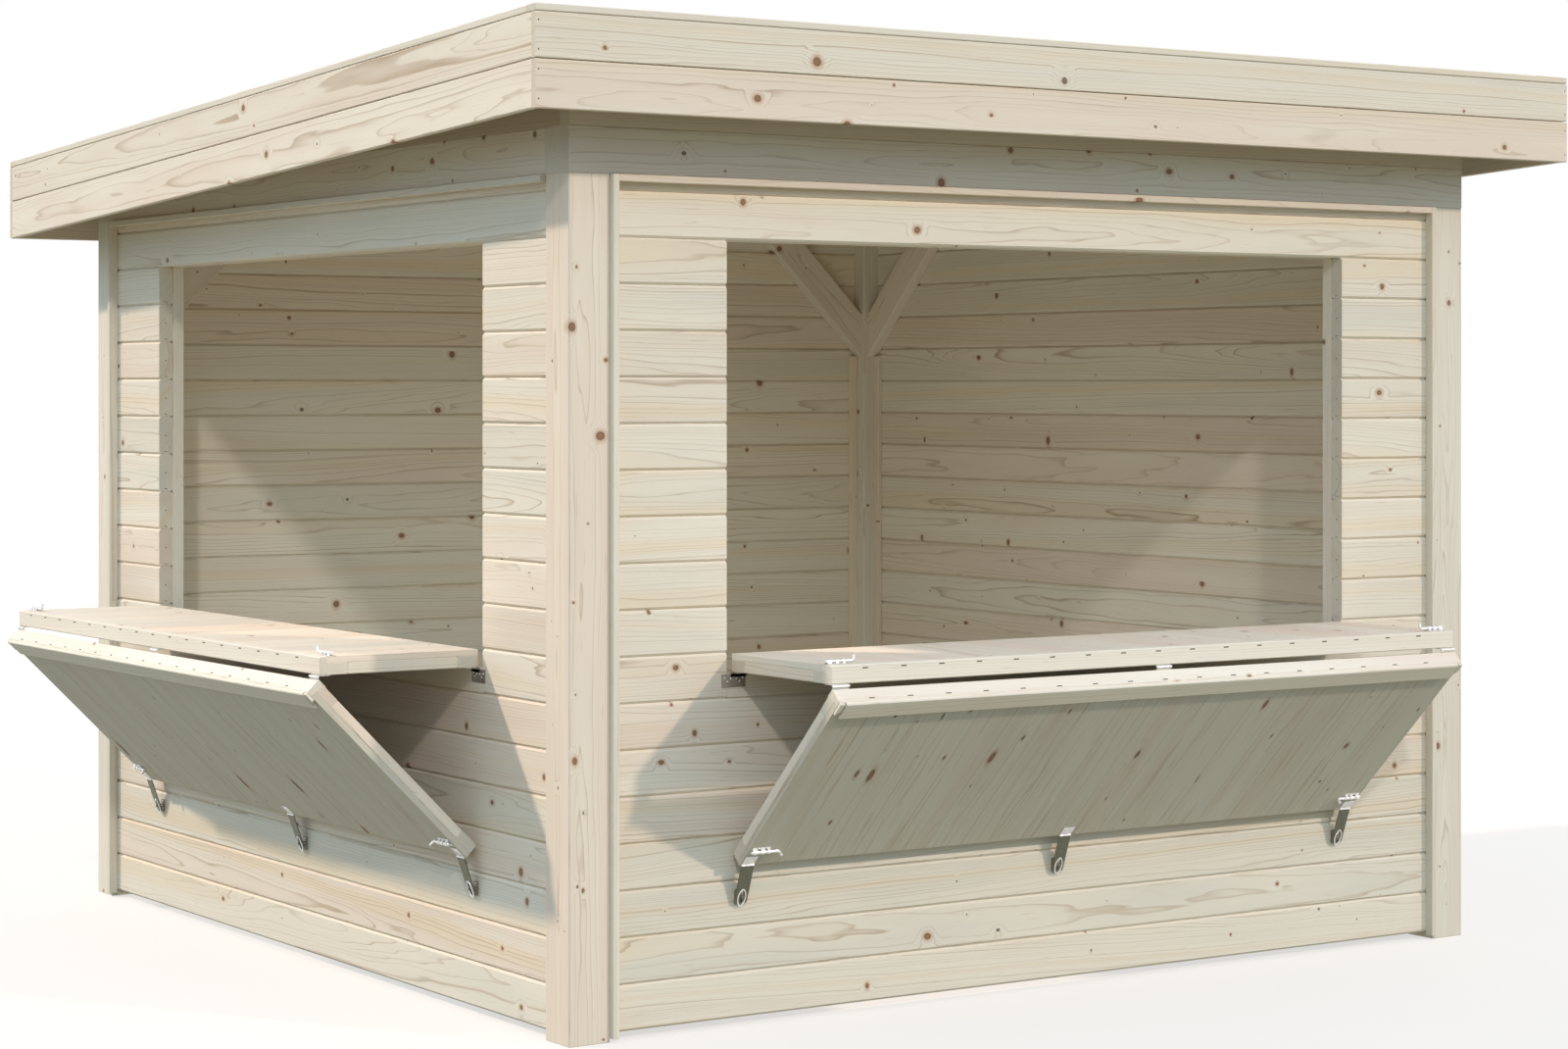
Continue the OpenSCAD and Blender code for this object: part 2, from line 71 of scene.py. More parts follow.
class Side:
    # one wall's own axes: s along it, out from the face of its boards, z up
    def __init__(self, name, turn):
        self.name = name
        self.along = np.array([math.cos(turn), math.sin(turn), 0.0]).round(9)
        self.outward = np.array([math.sin(turn), -math.cos(turn), 0.0]).round(9)

    def way(self, s, out, z):
        return self.along * s + self.outward * out + up * z

    def at(self, s, out, z):
        return planCentre + self.way(s, boardFace + out, z)

    def outOf(self, point):
        return float((np.array(point) - planCentre) @ self.outward) - boardFace

    def joint(self, name):                       # the line of a joint: how far out, how high
        place = next(j for j in frame["joints"] if j["name"] == self.name + name)["pos_m"]
        return self.outOf(place), place[2]

    def bench(self):
        return self.at(0, 0, 0), self.along, self.outward, up


front, right = Side("front", 0.0), Side("right", math.pi / 2)
back, left = Side("back", math.pi), Side("left", -math.pi / 2)


class Wire:
    # a socket that adds and multiplies like a number
    def __init__(self, sheet, socket):
        self.sheet, self.socket = sheet, socket

    def out(self, name):
        return Wire(self.sheet, next(s for s in self.socket.node.outputs if s.name == name))

    def __add__(self, other):
        return self.sheet.maths("ADD", self, other)

    def __sub__(self, other):
        return self.sheet.maths("SUBTRACT", self, other)

    def __rsub__(self, other):
        return self.sheet.maths("SUBTRACT", other, self)

    def __mul__(self, other):
        return self.sheet.maths("MULTIPLY", self, other)

    def __truediv__(self, other):
        return self.sheet.maths("DIVIDE", self, other)

    def __pow__(self, other):
        return self.sheet.maths("POWER", self, other)

    __radd__, __rmul__ = __add__, __mul__


class Sheet:
    # a material's or the world's nodes, each made by one method
    def __init__(self, name, owners=bpy.data.materials):
        self.material = owners.new(name)
        self.material.use_nodes = True
        self.tree = self.material.node_tree
        self.tree.nodes.clear()

    def node(self, kind, settings=None, inputs=()):
        made = self.tree.nodes.new("ShaderNode" + kind)
        for key, value in (settings or {}).items():
            if key == "stops":
                ramp = made.color_ramp
                while len(ramp.elements) < len(value):
                    ramp.elements.new(0.5)
                for element, (position, shade) in zip(ramp.elements, value):
                    element.position = position
                    element.color = (shade, shade, shade, 1.0)
            else:
                setattr(made, key, value)
        for key, value in inputs.items() if isinstance(inputs, dict) else enumerate(inputs):
            socket = made.inputs[key] if isinstance(key, int) else next(
                s for s in made.inputs if s.enabled and s.name == key)
            if isinstance(value, Wire):
                self.tree.links.new(value.socket, socket)
            else:
                socket.default_value = value
        return Wire(self, next((s for s in made.outputs if s.enabled), None)
                    if made.outputs else None)

    def maths(self, operation, *values):
        return self.node("Math", {"operation": operation}, values)

    def smooth(self, value, low, high):          # 0 at low, 1 at high, eased between
        return self.node("MapRange", {"interpolation_type": "SMOOTHSTEP"},
                         {"Value": value, "From Min": low, "From Max": high})

    def blend(self, factor, first, second):
        return self.node("Mix", {"data_type": "RGBA"},
                         {"Factor": factor, "A": first, "B": second})

    def vector(self, operation, *values):
        return self.node("VectorMath", {"operation": operation}, values)

    def scale(self, vector, factor):
        return self.node("VectorMath", {"operation": "SCALE"},
                         {"Vector": vector, "Scale": factor})

    def attribute(self, name, output):
        return self.node("Attribute", {"attribute_name": name}).out(output)

    def noise(self, place, along, across, detail=2.0, roughness=0.5):   # waves per metre each way
        return self.node("TexNoise", {"noise_dimensions": "3D"}, {
            "Vector": self.vector("MULTIPLY", place, (along, across, across)),
            "Scale": 1.0, "Detail": detail, "Roughness": roughness})

    def bands(self, place, detail):
        return self.node("TexNoise", {"noise_dimensions": "1D"},
                         {"W": place, "Scale": 1.0, "Detail": detail})

    def seen(self):                              # 1 for what the camera or a mirror sees, else 0
        path = self.node("LightPath")
        return self.maths("MAXIMUM", path.out("Is Camera Ray"), path.out("Is Glossy Ray"))

    def finish(self, **inputs):
        inputs = {key.replace("_", " "): value for key, value in inputs.items()}
        self.node("OutputMaterial", {}, {"Surface": self.node("BsdfPrincipled", {}, inputs)})
        return self.material


def paint(red, green, blue):                     # a colour picker's 0-255 values, as linear light
    parts = [value / 255 for value in (red, green, blue)]
    return tuple(v / 12.92 if v <= 0.04045 else ((v + 0.055) / 1.055) ** 2.4 for v in parts) + (1.0,)


spruceTones = {
    "pale": paint(229, 221, 203), "pink": paint(228, 213, 194), "grey": paint(216, 211, 195),
    "late": paint(163, 136, 101), "halo": paint(182, 136, 92), "knot": paint(78, 54, 38),
    "sound": paint(130, 88, 56), "warm": paint(227, 209, 177),
}
spruceLight = {"base": 0.99, "piece": 0.09, "fibre": 0.12, "cloud": 0.1, "endShade": 0.86}
ringShape = {"sway": 0.034, "widthWaves": 45.0, "widthShare": 2.8, "lateFrom": 0.80, "lateFull": 0.955,
             "knotPush": 1.4, "bandWaves": 24.0}
knotShape = {"perMetre": 3.8, "perRadian": 1.7, "least": 0.0017, "ragged": 0.0020,
             "core": 0.82, "rim": 0.7, "halo": 0.6}
# in knot radii: where each mask starts to fade in from outside, and where it is full
knotReach = {"core": (1.15, 0.8), "rim": (1.5, 1.0), "inner": (0.95, 0.7), "halo": (3.0, 0.9),
             "bulge": (6.0, 0.6)}


def spruce(name, ringWidth=0.0058, ringDepth=0.9, knotShare=0.24, knotTop=0.0055, dim=1.0,
           stretch=0.8, streaks=0.0, variety=1.0, warmShare=0.5, tint=(1.0, 1.0, 1.0)):
    # growth rings are cylinders round the pith, bent by slow noise along the trunk: late wood is
    # the last fifth of each ring, at fract(radius / ringWidth) near 1; a knot is a cone from the
    # pith, so it has one place along the trunk and one angle round it
    sheet = Sheet(name)
    place, tone = sheet.attribute("grain", "Vector"), sheet.attribute("tone", "Vector")
    endCut = sheet.attribute("endCut", "Fac")
    chance = sheet.node("SeparateXYZ", {}, [tone])
    shade, hue, vigour = chance.out("X"), chance.out("Y"), chance.out("Z")

    sway = sheet.noise(place, 1.1, 9.0, 3.0).out("Color")
    sway = sheet.vector("MULTIPLY", sheet.vector("SUBTRACT", sway, (0.5, 0.5, 0.5)),
                        (0.0, ringShape["sway"], ringShape["sway"]))
    bent = sheet.vector("ADD", place, sway)
    parts = sheet.node("SeparateXYZ", {}, [bent])
    x, y, z = parts.out("X"), parts.out("Y"), parts.out("Z")
    radius = (y * y + z * z) ** 0.5
    angle = sheet.maths("ARCTAN2", y, z)

    perMetre, perRadian = knotShape["perMetre"], knotShape["perRadian"]
    cell = sheet.node("TexVoronoi", {"voronoi_dimensions": "2D"}, {
        "Vector": sheet.node("CombineXYZ", {}, [x * perMetre, angle * perRadian, 0.0]),
        "Scale": 1.0, "Randomness": 0.95})
    spot = sheet.node("SeparateXYZ", {}, [cell.out("Position")])
    dice = sheet.node("SeparateColor", {}, [cell.out("Color")])
    knotRadius = dice.out("Red") ** 3.0 * knotTop + knotShape["least"]
    present = sheet.maths("LESS_THAN", dice.out("Green"), knotShare)
    sound = sheet.smooth(dice.out("Blue") + dice.out("Red") * 0.6, 0.72, 0.86)
    offAlong = (x - spot.out("X") / perMetre) * stretch
    offRound = (angle - spot.out("Y") / perRadian) * radius
    ragged = sheet.noise(place, 260.0, 260.0) - 0.5
    away = (offAlong * offAlong + offRound * offRound) ** 0.5 + ragged * knotShape["ragged"]
    reach = away / knotRadius
    core, rim, inner, halo, bulge = (sheet.smooth(reach, *knotReach[key]) * present for key in (
        "core", "rim", "inner", "halo", "bulge"))
    rim, halo, bulge = rim - inner, halo * sound, bulge * knotRadius

    width = sheet.bands(radius * ringShape["widthWaves"] + shade * 40.0, 2.0)
    phase = (radius + bulge * ringShape["knotPush"]) / ringWidth + width * ringShape["widthShare"]
    step = sheet.maths("FRACT", phase)
    late = sheet.node("ValToRGB", {"stops": [
        (0.0, 0.0), (0.45, 0.02), (ringShape["lateFrom"], 0.10), (0.90, 0.62),
        (ringShape["lateFull"], 1.0), (1.0, 0.0)]}, [step])
    year = sheet.node("TexWhiteNoise", {"noise_dimensions": "1D"},
                      {"W": sheet.maths("FLOOR", phase) + shade * 91.0})
    patchy = sheet.smooth(sheet.noise(place, 1.7, 14.0), 0.32, 0.62)
    strength = (year * 0.65 + 0.45) * (vigour * 0.45 + 0.6) * (patchy * 0.4 + 0.6) * ringDepth
    lateWood = late * strength

    fibre = sheet.noise(place, 5.0, 420.0, 3.0, 0.6)
    dashes = sheet.smooth(sheet.noise(place, 11.0, 300.0, 1.0), 0.68, 0.8)
    cloud = sheet.noise(place, 1.3, 11.0)

    warmth = (hue - 0.5) * (0.6 * variety) + 0.5 + (cloud - 0.5) * 0.8
    warmBand = sheet.bands(radius * ringShape["bandWaves"] + hue * 50.0, 1.0)
    tones, shares = spruceTones, spruceLight
    layers = [(sheet.smooth(warmth, 0.2, 0.6), tones["pale"]),
              (sheet.smooth(warmth, 0.6, 0.95), tones["grey"]),
              (sheet.smooth(warmBand, 0.5, 0.72) * warmShare, tones["warm"]),
              (lateWood, tones["late"]), (dashes * 0.3, tones["halo"])]
    if streaks:
        run = sheet.noise(place, 2.4, 60.0, 3.0, 0.6)
        layers.append((sheet.smooth(run, 0.56, 0.72) * streaks, tones["halo"]))
    layers += [(halo * knotShape["halo"], tones["halo"]),
               (core * knotShape["core"], sheet.blend(sound, tones["knot"], tones["sound"])),
               (rim * sound * knotShape["rim"], tones["knot"])]
    colour = tones["pink"]
    for mask, tone in layers:                    # each tone laid over the ones before it
        colour = sheet.blend(mask, colour, tone)
    light = (shade - 0.5) * (shares["piece"] * variety) + shares["base"]
    for mask, share in ((fibre, shares["fibre"]), (cloud, shares["cloud"])):
        light = light * (mask * share + (1.0 - share / 2))
    # dim lifts or lowers the whole colour; the counter boards use it as painted light and the prop's
    # face as painted shade
    light = light * dim * (1.0 - endCut * (1.0 - shares["endShade"]))
    colour = sheet.scale(sheet.vector("MULTIPLY", colour, tint), light)
    height = fibre * 0.5 + lateWood * 0.5 - core * 0.6
    bump = sheet.node("Bump", {}, {"Strength": 0.5, "Distance": 0.0006, "Height": height})
    return sheet.finish(Base_Color=colour, Roughness=0.56 + fibre * 0.16, Normal=bump,
                        Specular_IOR_Level=0.3)


def zinc(name, low, high, roughness=0.3, metallic=0.9):
    # plated steel: faint patches of two greys, and fine grit in the gloss
    sheet = Sheet(name)
    place = sheet.node("TexCoord").out("Object")
    spangle = sheet.node("TexVoronoi", {"voronoi_dimensions": "3D"},
                         {"Vector": place, "Scale": 340.0}).out("Color")
    patch = sheet.node("SeparateColor", {}, [spangle])
    speck = sheet.noise(place, 700.0, 700.0)
    colour = sheet.blend(patch * 0.5 + speck * 0.5, low, high)
    bump = sheet.node("Bump", {}, {"Strength": 0.12, "Distance": 0.0001, "Height": speck})
    return sheet.finish(Base_Color=colour, Metallic=metallic,
                        Roughness=speck * 0.14 + roughness - 0.07, Normal=bump)


wallSpruce = spruce("wall_spruce")
postSpruce = spruce("post_spruce", ringWidth=0.0043, ringDepth=0.9, knotShare=0.45, knotTop=0.0055,
                    warmShare=0.3, tint=(0.985, 0.99, 1.0))
trimSpruce = spruce("trim_spruce", ringWidth=0.0060, ringDepth=0.8, knotShare=0.2, knotTop=0.0065,
                    warmShare=0.3)
counterSpruce = spruce("counter_spruce", ringDepth=0.6, knotShare=0.3, knotTop=0.007, warmShare=0.15,
                       dim=1.03, tint=(1.0, 1.0, 1.01))
# painted light: the counter's boards are made lighter (dim 1.1), standing in for the light that falls
# on their upward faces
litTopSpruce = spruce("top_spruce", ringDepth=0.5, knotShare=0.3, knotTop=0.007, warmShare=0.1,
                   dim=1.1, tint=(1.0, 1.0, 1.01))
edgeSpruce = spruce("edge_spruce", ringDepth=0.6, knotShare=0.25, knotTop=0.006, warmShare=0.1,
                    variety=0.3, dim=1.06, tint=(0.99, 1.0, 1.02))
# painted shade: the prop's face boards are darker (dim 0.80) and a little greener than the other
# boards, standing in for the shade on a face that looks down, so they stay darker in every pose
shadedPropSpruce = spruce("prop_spruce", ringWidth=0.008, ringDepth=0.4, knotShare=0.25, knotTop=0.006,
                    dim=0.80, stretch=0.3, streaks=0.35, variety=0.25, warmShare=0.1,
                    tint=(0.97, 1.0, 1.01))
# painted light: the warm tint stands in for warm light bounced up onto the roof boards' underside and
# the rafters
roofSpruce = spruce("roof_spruce", ringDepth=0.9, knotShare=0.3, knotTop=0.0065, dim=0.82,
                    tint=(1.03, 0.99, 0.94))
zincPlate = zinc("zinc_plate", paint(188, 190, 188), paint(226, 226, 222), 0.34)
zincBright = zinc("zinc_bright", paint(232, 233, 232), paint(248, 248, 246), 0.30, 0.55)
zincDull = zinc("zinc_dull", paint(128, 118, 106), paint(160, 150, 136), 0.45, 0.5)
strapSteel = zinc("strap_steel", paint(86, 88, 72), paint(112, 114, 96), 0.42, 0.7)
stapleSteel = zinc("staple_steel", paint(64, 54, 42), paint(92, 80, 64), 0.5, 0.3)
print("materials made")


def put(name, data):
    made = bpy.data.objects.new(name, data)
    bpy.context.collection.objects.link(made)
    return made


trunkSizes = {"shift": (2.0, 60.0), "heart": (0.035, 0.085), "heartSlope": 0.004,
              "across": (-0.04, 0.16), "deep": (0.055, 0.12), "offset": 0.02, "slope": 0.022}


class Pile:
    # straight pieces of timber gathered into one mesh, with the grain that each was cut from
    def __init__(self, name, material, slot, body="root", replaced=(), seed=1):
        self.name, self.material, self.slot, self.body = name, material, slot, body
        self.replaced = replaced
        self.random = np.random.default_rng(seed)
        self.points, self.grains, self.tones, self.faces, self.ends = [], [], [], [], []
        self.count = 0

    def cut(self, kind="plank"):
        # where in the trunk a piece was cut: shift along it, pith offsets, slow slopes, tones
        draw, size = self.random.uniform, trunkSizes
        if kind == "heart":
            pith = draw(*size["heart"], 2)
            slope = draw(-size["heartSlope"], size["heartSlope"], 2)
        else:
            pith = np.array([draw(*size["across"]),
                             size["offset"] + self.random.choice([-1, 1]) * draw(*size["deep"])])
            slope = draw(-size["slope"], size["slope"], 2)
        return {"shift": draw(*size["shift"]), "pith": pith, "slope": slope,
                "tone": self.random.random(3)}

    def member(self, start, run, across, depth, length, profile, cut=None, ease=0.0012,
               rakes=((0.0, 0.0), (0.0, 0.0)), order=(0, 1, 2), kind="plank"):
        # the outline profile(a, d) carried along run: point = start + run*s + across*a + depth*d,
        # s shifted at each end by rake[0]*a + rake[1]*d; the end outlines are drawn in by ease
        cut = cut or self.cut(kind)
        profile = np.asarray(profile, float)
        a, d = profile.T
        area = np.sum(a * np.roll(d, -1) - np.roll(a, -1) * d)
        if np.dot(np.cross(across, depth), run) * area < 0:
            profile = profile[::-1]
        middle = (profile.min(0) + profile.max(0)) / 2
        extent = profile.max(0) - profile.min(0)
        drawn = middle + (profile - middle) * (1 - 2 * ease / extent)
        rings = np.array([drawn, profile, profile, drawn] if ease else [profile, profile])
        stations = np.array([0.0, ease, length - ease, length] if ease else [0.0, length])
        lean = np.repeat(np.array(rakes), len(rings) // 2, axis=0)
        s = stations[:, None] + np.einsum("knc,kc->kn", rings, lean)
        local = np.dstack([s, rings[:, :, 0], rings[:, :, 1]]).reshape(-1, 3)
        world = np.asarray(start) + local @ np.array([run, across, depth])
        grain = local[:, list(order)]
        grain[:, 1:] += grain[:, :1] * cut["slope"] - cut["pith"]
        grain[:, 0] += cut["shift"]
        self.skin(world, grain, cut["tone"], len(profile), endCut=1.0)

    def skin(self, points, grain, tone, sides, closed=False, endCut=0.0):
        # quads from each ring of points to the next, and a cap on each open end
        count = len(points) // sides
        rings = self.count + np.arange(count + closed)[:, None] % count * sides + np.arange(sides)
        low, high = rings[:-1], rings[1:]
        quads = np.dstack([low, np.roll(low, -1, 1), np.roll(high, -1, 1), high]).reshape(-1, 4)
        self.faces += quads.tolist()
        self.ends += [0.0] * len(quads)
        if not closed:
            self.faces += [rings[0, ::-1].tolist(), rings[-1].tolist()]
            self.ends += [endCut] * 2
        self.points.append(points)
        self.grains.append(grain)
        self.tones.append(np.tile(tone, (len(points), 1)))
        self.count += len(points)

    def place(self):
        points = np.concatenate(self.points)
        mesh = bpy.data.meshes.new(self.name)
        mesh.from_pydata(points.tolist(), [], self.faces)
        for label, rows in (("grain", self.grains), ("tone", self.tones)):
            layer = mesh.attributes.new(label, "FLOAT_VECTOR", "POINT")
            layer.data.foreach_set("vector", np.concatenate(rows).ravel())
        layer = mesh.attributes.new("endCut", "FLOAT", "FACE")
        layer.data.foreach_set("value", self.ends)
        mesh.update()
        mesh.materials.append(self.material)
        made = put(self.name, mesh)
        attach(made, self.body)
        if self.replaced:
            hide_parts(*self.replaced)
        return made


def eased(width, thick, arris=0.0015):           # a rectangle with its corners taken off
    a, w, t = arris, width, thick
    return [(a, 0), (w - a, 0), (w, a), (w, t - a), (w - a, t), (a, t), (0, t - a), (0, a)]


tongueShares = {"near": 0.38, "far": 0.62, "high": 0.17}     # of the board's thickness
tongueSizes = {"taper": 0.001, "mouth": 0.0004, "depth": 0.0015, "floor": 0.0006}


def jointed(pitch, thick, bevel, tongue=True, groove=True, gap=0.0003):
    # a matched board: bevels on both faces, a tongue on its upper edge, a groove in its lower
    b, size = bevel, tongueSizes
    near, far, high = (thick * tongueShares[key] for key in ("near", "far", "high"))
    outline = [(b, 0), (pitch - b, 0), (pitch - gap, b)]
    if tongue:
        outline += [(pitch - gap, near), (pitch + high, near + size["taper"]),
                    (pitch + high, far - size["taper"]), (pitch - gap, far)]
    outline += [(pitch - gap, thick - b), (pitch - b, thick), (b, thick), (gap, thick - b)]
    if groove:
        deep = high + size["depth"]
        outline += [(gap, far + size["mouth"]), (deep, far - size["floor"]),
                    (deep, near + size["floor"]), (gap, near - size["mouth"])]
    return outline + [(gap, b)]


def roundedPlate(wide, high, radius, steps=4):
    # a rectangle with quarter circles: corner centre + radius*(cos t, sin t), t round each quarter
    turn = np.linspace(0, math.pi / 2, steps + 1) + np.arange(4)[:, None] * math.pi / 2
    middle = np.array([wide, high]) / 2
    corners = middle + np.array([[1, 1], [-1, 1], [-1, -1], [1, -1]]) * (middle - radius)
    return (corners[:, None] + radius * np.dstack([np.cos(turn), np.sin(turn)])).reshape(-1, 2)


screwDome = np.array([[-0.0006, 1.0], [0.0002, 1.0], [0.0008, 0.86], [0.0012, 0.5],
                      [0.00135, 0.2]])           # height, share of the head's radius


class Ironwork(Pile):
    # metal parts in a bench's own axes: world = origin + a*ways[0] + b*ways[1] + c*ways[2]
    def __init__(self, name, material, body, replaced, bench):
        super().__init__(name, material, "zinc", body, replaced)
        self.origin, self.ways = bench[0], np.array(bench[1:])

    def world(self, points):
        return self.origin + np.asarray(points, float) @ self.ways

    def plate(self, place, wide, high, thick, radius=0.002, ease=0.0003, axes=(0, 1, 2), steps=4):
        # a rounded rectangle in two of the bench's axes, carried along the third; place is the
        # middle of its lower edge
        across, up, through = self.ways[list(axes)]
        start = self.world(place) - across * wide / 2
        self.member(start, through, across, up, thick, roundedPlate(wide, high, radius, steps),
                    ease=ease)

    def round(self, path, radii, sides=12, closed=False):
        # a circle carried along a path: ring k = path[k] + radii[k]*(cos t * n + sin t * m),
        # where n and m stand square to the path, and m also to the plane in which it bends
        path = self.world(path)
        radii = np.broadcast_to(np.asarray(radii, float), (len(path),))
        along = np.roll(path, -1, 0) - np.roll(path, 1, 0) if closed else np.gradient(path, axis=0)
        along /= np.linalg.norm(along, axis=1)[:, None]
        bends = np.cross(along[:-1], along[1:])
        seed = bends[np.abs(bends).sum(1).argmax()]
        if np.abs(seed).max() < 1e-6:
            seed = np.eye(3)[np.argmin(np.abs(along[0]))]
        across = np.cross(along, seed)
        across /= np.linalg.norm(across, axis=1)[:, None]
        other = np.cross(along, across)
        turn = np.arange(sides)[:, None] * 2 * math.pi / sides
        rings = path[:, None] + radii[:, None, None] * (
            np.cos(turn) * across[:, None] + np.sin(turn) * other[:, None])
        points = rings.reshape(-1, 3)
        self.skin(points, points, np.zeros(3), sides, closed)

    def barrel(self, middle, length, radius, ease=0.0004, sides=14):
        # a short cylinder along the bench's first axis, with its ends eased
        half = length / 2
        stations = np.array([-half, ease - half, half - ease, half])
        self.round(np.array(middle) + stations[:, None] * alongX,
                   [radius - ease, radius, radius, radius - ease], sides)

    def screw(self, centre, way, radius=0.0036):
        # a low domed head: radius falls as the square root of what is left of its height
        centre, way = np.asarray(centre, float), np.asarray(way, float)
        rise, share = screwDome.T
        self.round(centre + rise[:, None] * way, radius * share, 10)

    def place(self):
        made = super().place()
        made.data.polygons.foreach_set("use_smooth", [True] * len(made.data.polygons))
        made.data.set_sharp_from_angle(angle=math.radians(38))      # a bend past this stays crisp
        return made


# posts standing on the ground; the front and back beams lie over them
postSizes = {"arris": 0.003}


def squareTimber(node, axis, seed):
    # a post or a beam: its own box, sawn square, running along one axis
    low, high = lowHigh(node)
    size, ways = high - low, np.eye(3)
    over, deep = [k for k in range(3) if k != axis]
    pile = Pile(node + "_timber", postSpruce, "frame_timber", replaced=[node], seed=seed)
    pile.member(low, ways[axis], ways[over], ways[deep], size[axis],
                eased(size[over], size[deep], postSizes["arris"]), kind="heart")
    pile.place()


for number, name in enumerate(("front_left", "front_right", "back_left", "back_right")):
    squareTimber("post_" + name, 2, 11 + number)
for number, (name, axis) in enumerate((("front", 0), ("back", 0), ("left", 1), ("right", 1))):
    squareTimber("beam_" + name, axis, 21 + number)

# knee braces inside, their ends cut at 45 degrees against post and beam
braceSizes = {"width": 0.110, "thick": 0.044, "arris": 0.002}
braceFoot = lowHigh("knee_braces")[0][2]
braceRun = math.sqrt(2) * (wallTop - braceFoot)
pile = Pile("knee_brace_timbers", postSpruce, "frame_timber", replaced=["knee_braces"], seed=31)
for side in (front, right, back, left):
    for hand in (-1, 1):
        diagonal = side.way(-hand, 0, 1) / math.sqrt(2)
        pile.member(side.at(hand * wallEnd, -wallThick, braceFoot), diagonal,
                    side.way(hand, 0, 1) / math.sqrt(2), -side.outward, braceRun,
                    eased(braceSizes["width"], braceSizes["thick"], braceSizes["arris"]),
                    rakes=((1.0, 0.0), (-1.0, 0.0)), ease=0.0)
pile.place()
print("frame timbers made")

# walls: matched boards between the posts, notched round an opening
wallSizes = {"pitch": 0.1165, "bevel": 0.0062, "sliver": 0.002, "ease": 0.0012,
             "endEase": 0.0008, "cutBevel": 0.4}


def boardWall(side, replaced, opened, seed):
    pile = Pile(side.name + "_wall_boards", wallSpruce, "wall_boards", replaced=replaced, seed=seed)
    pitch, bevel, sliver = wallSizes["pitch"], wallSizes["bevel"], wallSizes["sliver"]

    def lay(s0, s1, z, outline, cut, ease):
        shifted = dict(cut, shift=cut["shift"] + s0 + wallEnd)
        pile.member(side.at(s0, 0, z), side.along, up, -side.outward, s1 - s0, outline, shifted, ease)

    for row in range(math.ceil((wallTop - wallFoot) / pitch)):
        z = wallFoot + row * pitch
        cut = pile.cut()
        if z + pitch > wallTop:
            outline = jointed(wallTop - z, wallThick, bevel, tongue=False)
        else:
            outline = jointed(pitch, wallThick, bevel)
        if not opened or z >= headUnder - sliver or z + pitch <= sillTop + sliver:
            lay(-wallEnd, wallEnd, z, outline, cut, wallSizes["ease"])
            continue
        for s0, s1 in ((-wallEnd, -openingHalf), (openingHalf, wallEnd)):
            lay(s0, s1, z, outline, cut, wallSizes["endEase"])
        if z < sillTop - sliver:
            under = jointed(sillTop - z, wallThick, bevel * wallSizes["cutBevel"], tongue=False)
            lay(-openingHalf, openingHalf, z, under, cut, 0.0)
    return pile.place()


for side, piers, seed in ((front, ("left_pier", "right_pier"), 41),
                          (left, ("back_pier", "front_pier"), 42)):
    names = [side.name + "_wall_" + part for part in ("sill", *piers, "header")]
    boardWall(side, names, True, seed)
boardWall(back, ["back_wall"], False, 43)
boardWall(right, ["right_wall"], False, 44)
print("walls made")

# battens outside at the posts and under the beams, and in the corners inside
battenSizes = {"wide": 0.018, "proud": 0.028, "corner": 0.028, "cornerThick": 0.018}
pile = Pile("batten_strips", trimSpruce, "trim_timber", replaced=["cover_battens"], seed=51)
battenFoot = lowHigh("cover_battens")[0][2]
wide = battenSizes["wide"]
strip, cornerStrip = (eased(battenSizes[a], battenSizes[b])
                      for a, b in (("wide", "proud"), ("corner", "cornerThick")))
for side, hands in ((front, (-1, 1)), (back, (-1, 1)), (left, (-1,)), (right, (-1, 1))):
    for hand in hands:
        pile.member(side.at(hand * wallEnd, 0, battenFoot), up, side.along * -hand, side.outward,
                    wallTop - battenFoot, strip)
    pile.member(side.at(wide - wallEnd, 0, wallTop - wide), side.along, up, side.outward,
                2 * wallEnd - wide * len(hands), strip)
    for hand in (-1, 1):
        pile.member(side.at(hand * wallEnd, -wallThick, wallFoot), up, side.along * -hand,
                    -side.outward, braceFoot - wallFoot, cornerStrip)
pile.place()

# studs and head rail round each opening
studSizes = {"wide": 0.045, "deep": 0.038, "arris": 0.002}
for side, seed in ((front, 61), (left, 62)):
    node = side.name + "_opening_frame"
    pile = Pile(side.name + "_studs", wallSpruce, "frame_timber", replaced=[node], seed=seed)
    stud = eased(studSizes["wide"], studSizes["deep"], studSizes["arris"])
    for hand in (-1, 1):
        pile.member(side.at(hand * openingHalf, -wallThick, wallFoot), up, side.along * hand,
                    -side.outward, headUnder - wallFoot, stud)
    span = openingHalf + studSizes["wide"]
    pile.member(side.at(-span, -wallThick, headUnder), side.along, up, -side.outward, 2 * span, stud)
    pile.place()

# one low slope, down from front to back
roofSizes = {"boardPitch": 0.1147, "thick": 0.018, "bevel": 0.003, "boardGap": 0.0004,
             "boardShare": 0.998, "backGap": 0.001, "clear": 0.0002}
frontFascia, backFascia = lowHigh("fascia_front"), lowHigh("fascia_back")
deckBox, rafterBox, trimBox = lowHigh("roof_deck"), lowHigh("rafters"), lowHigh("roof_trim")
roofFront = frontFascia[0][1]
slope = (frontFascia[1][2] - backFascia[1][2]) / (backFascia[0][1] - frontFascia[0][1])


def deckTop(y):                                  # the fascias reach as high as the boards
    return frontFascia[1][2] - (y - roofFront) * slope


def deckUnder(y):
    return deckTop(y) - roofSizes["thick"]


fall = np.array([0, 1.0, -slope])                # one metre back along the roof
downSlope = fall / np.linalg.norm(fall)
offSlope = np.cross(alongX, downSlope)

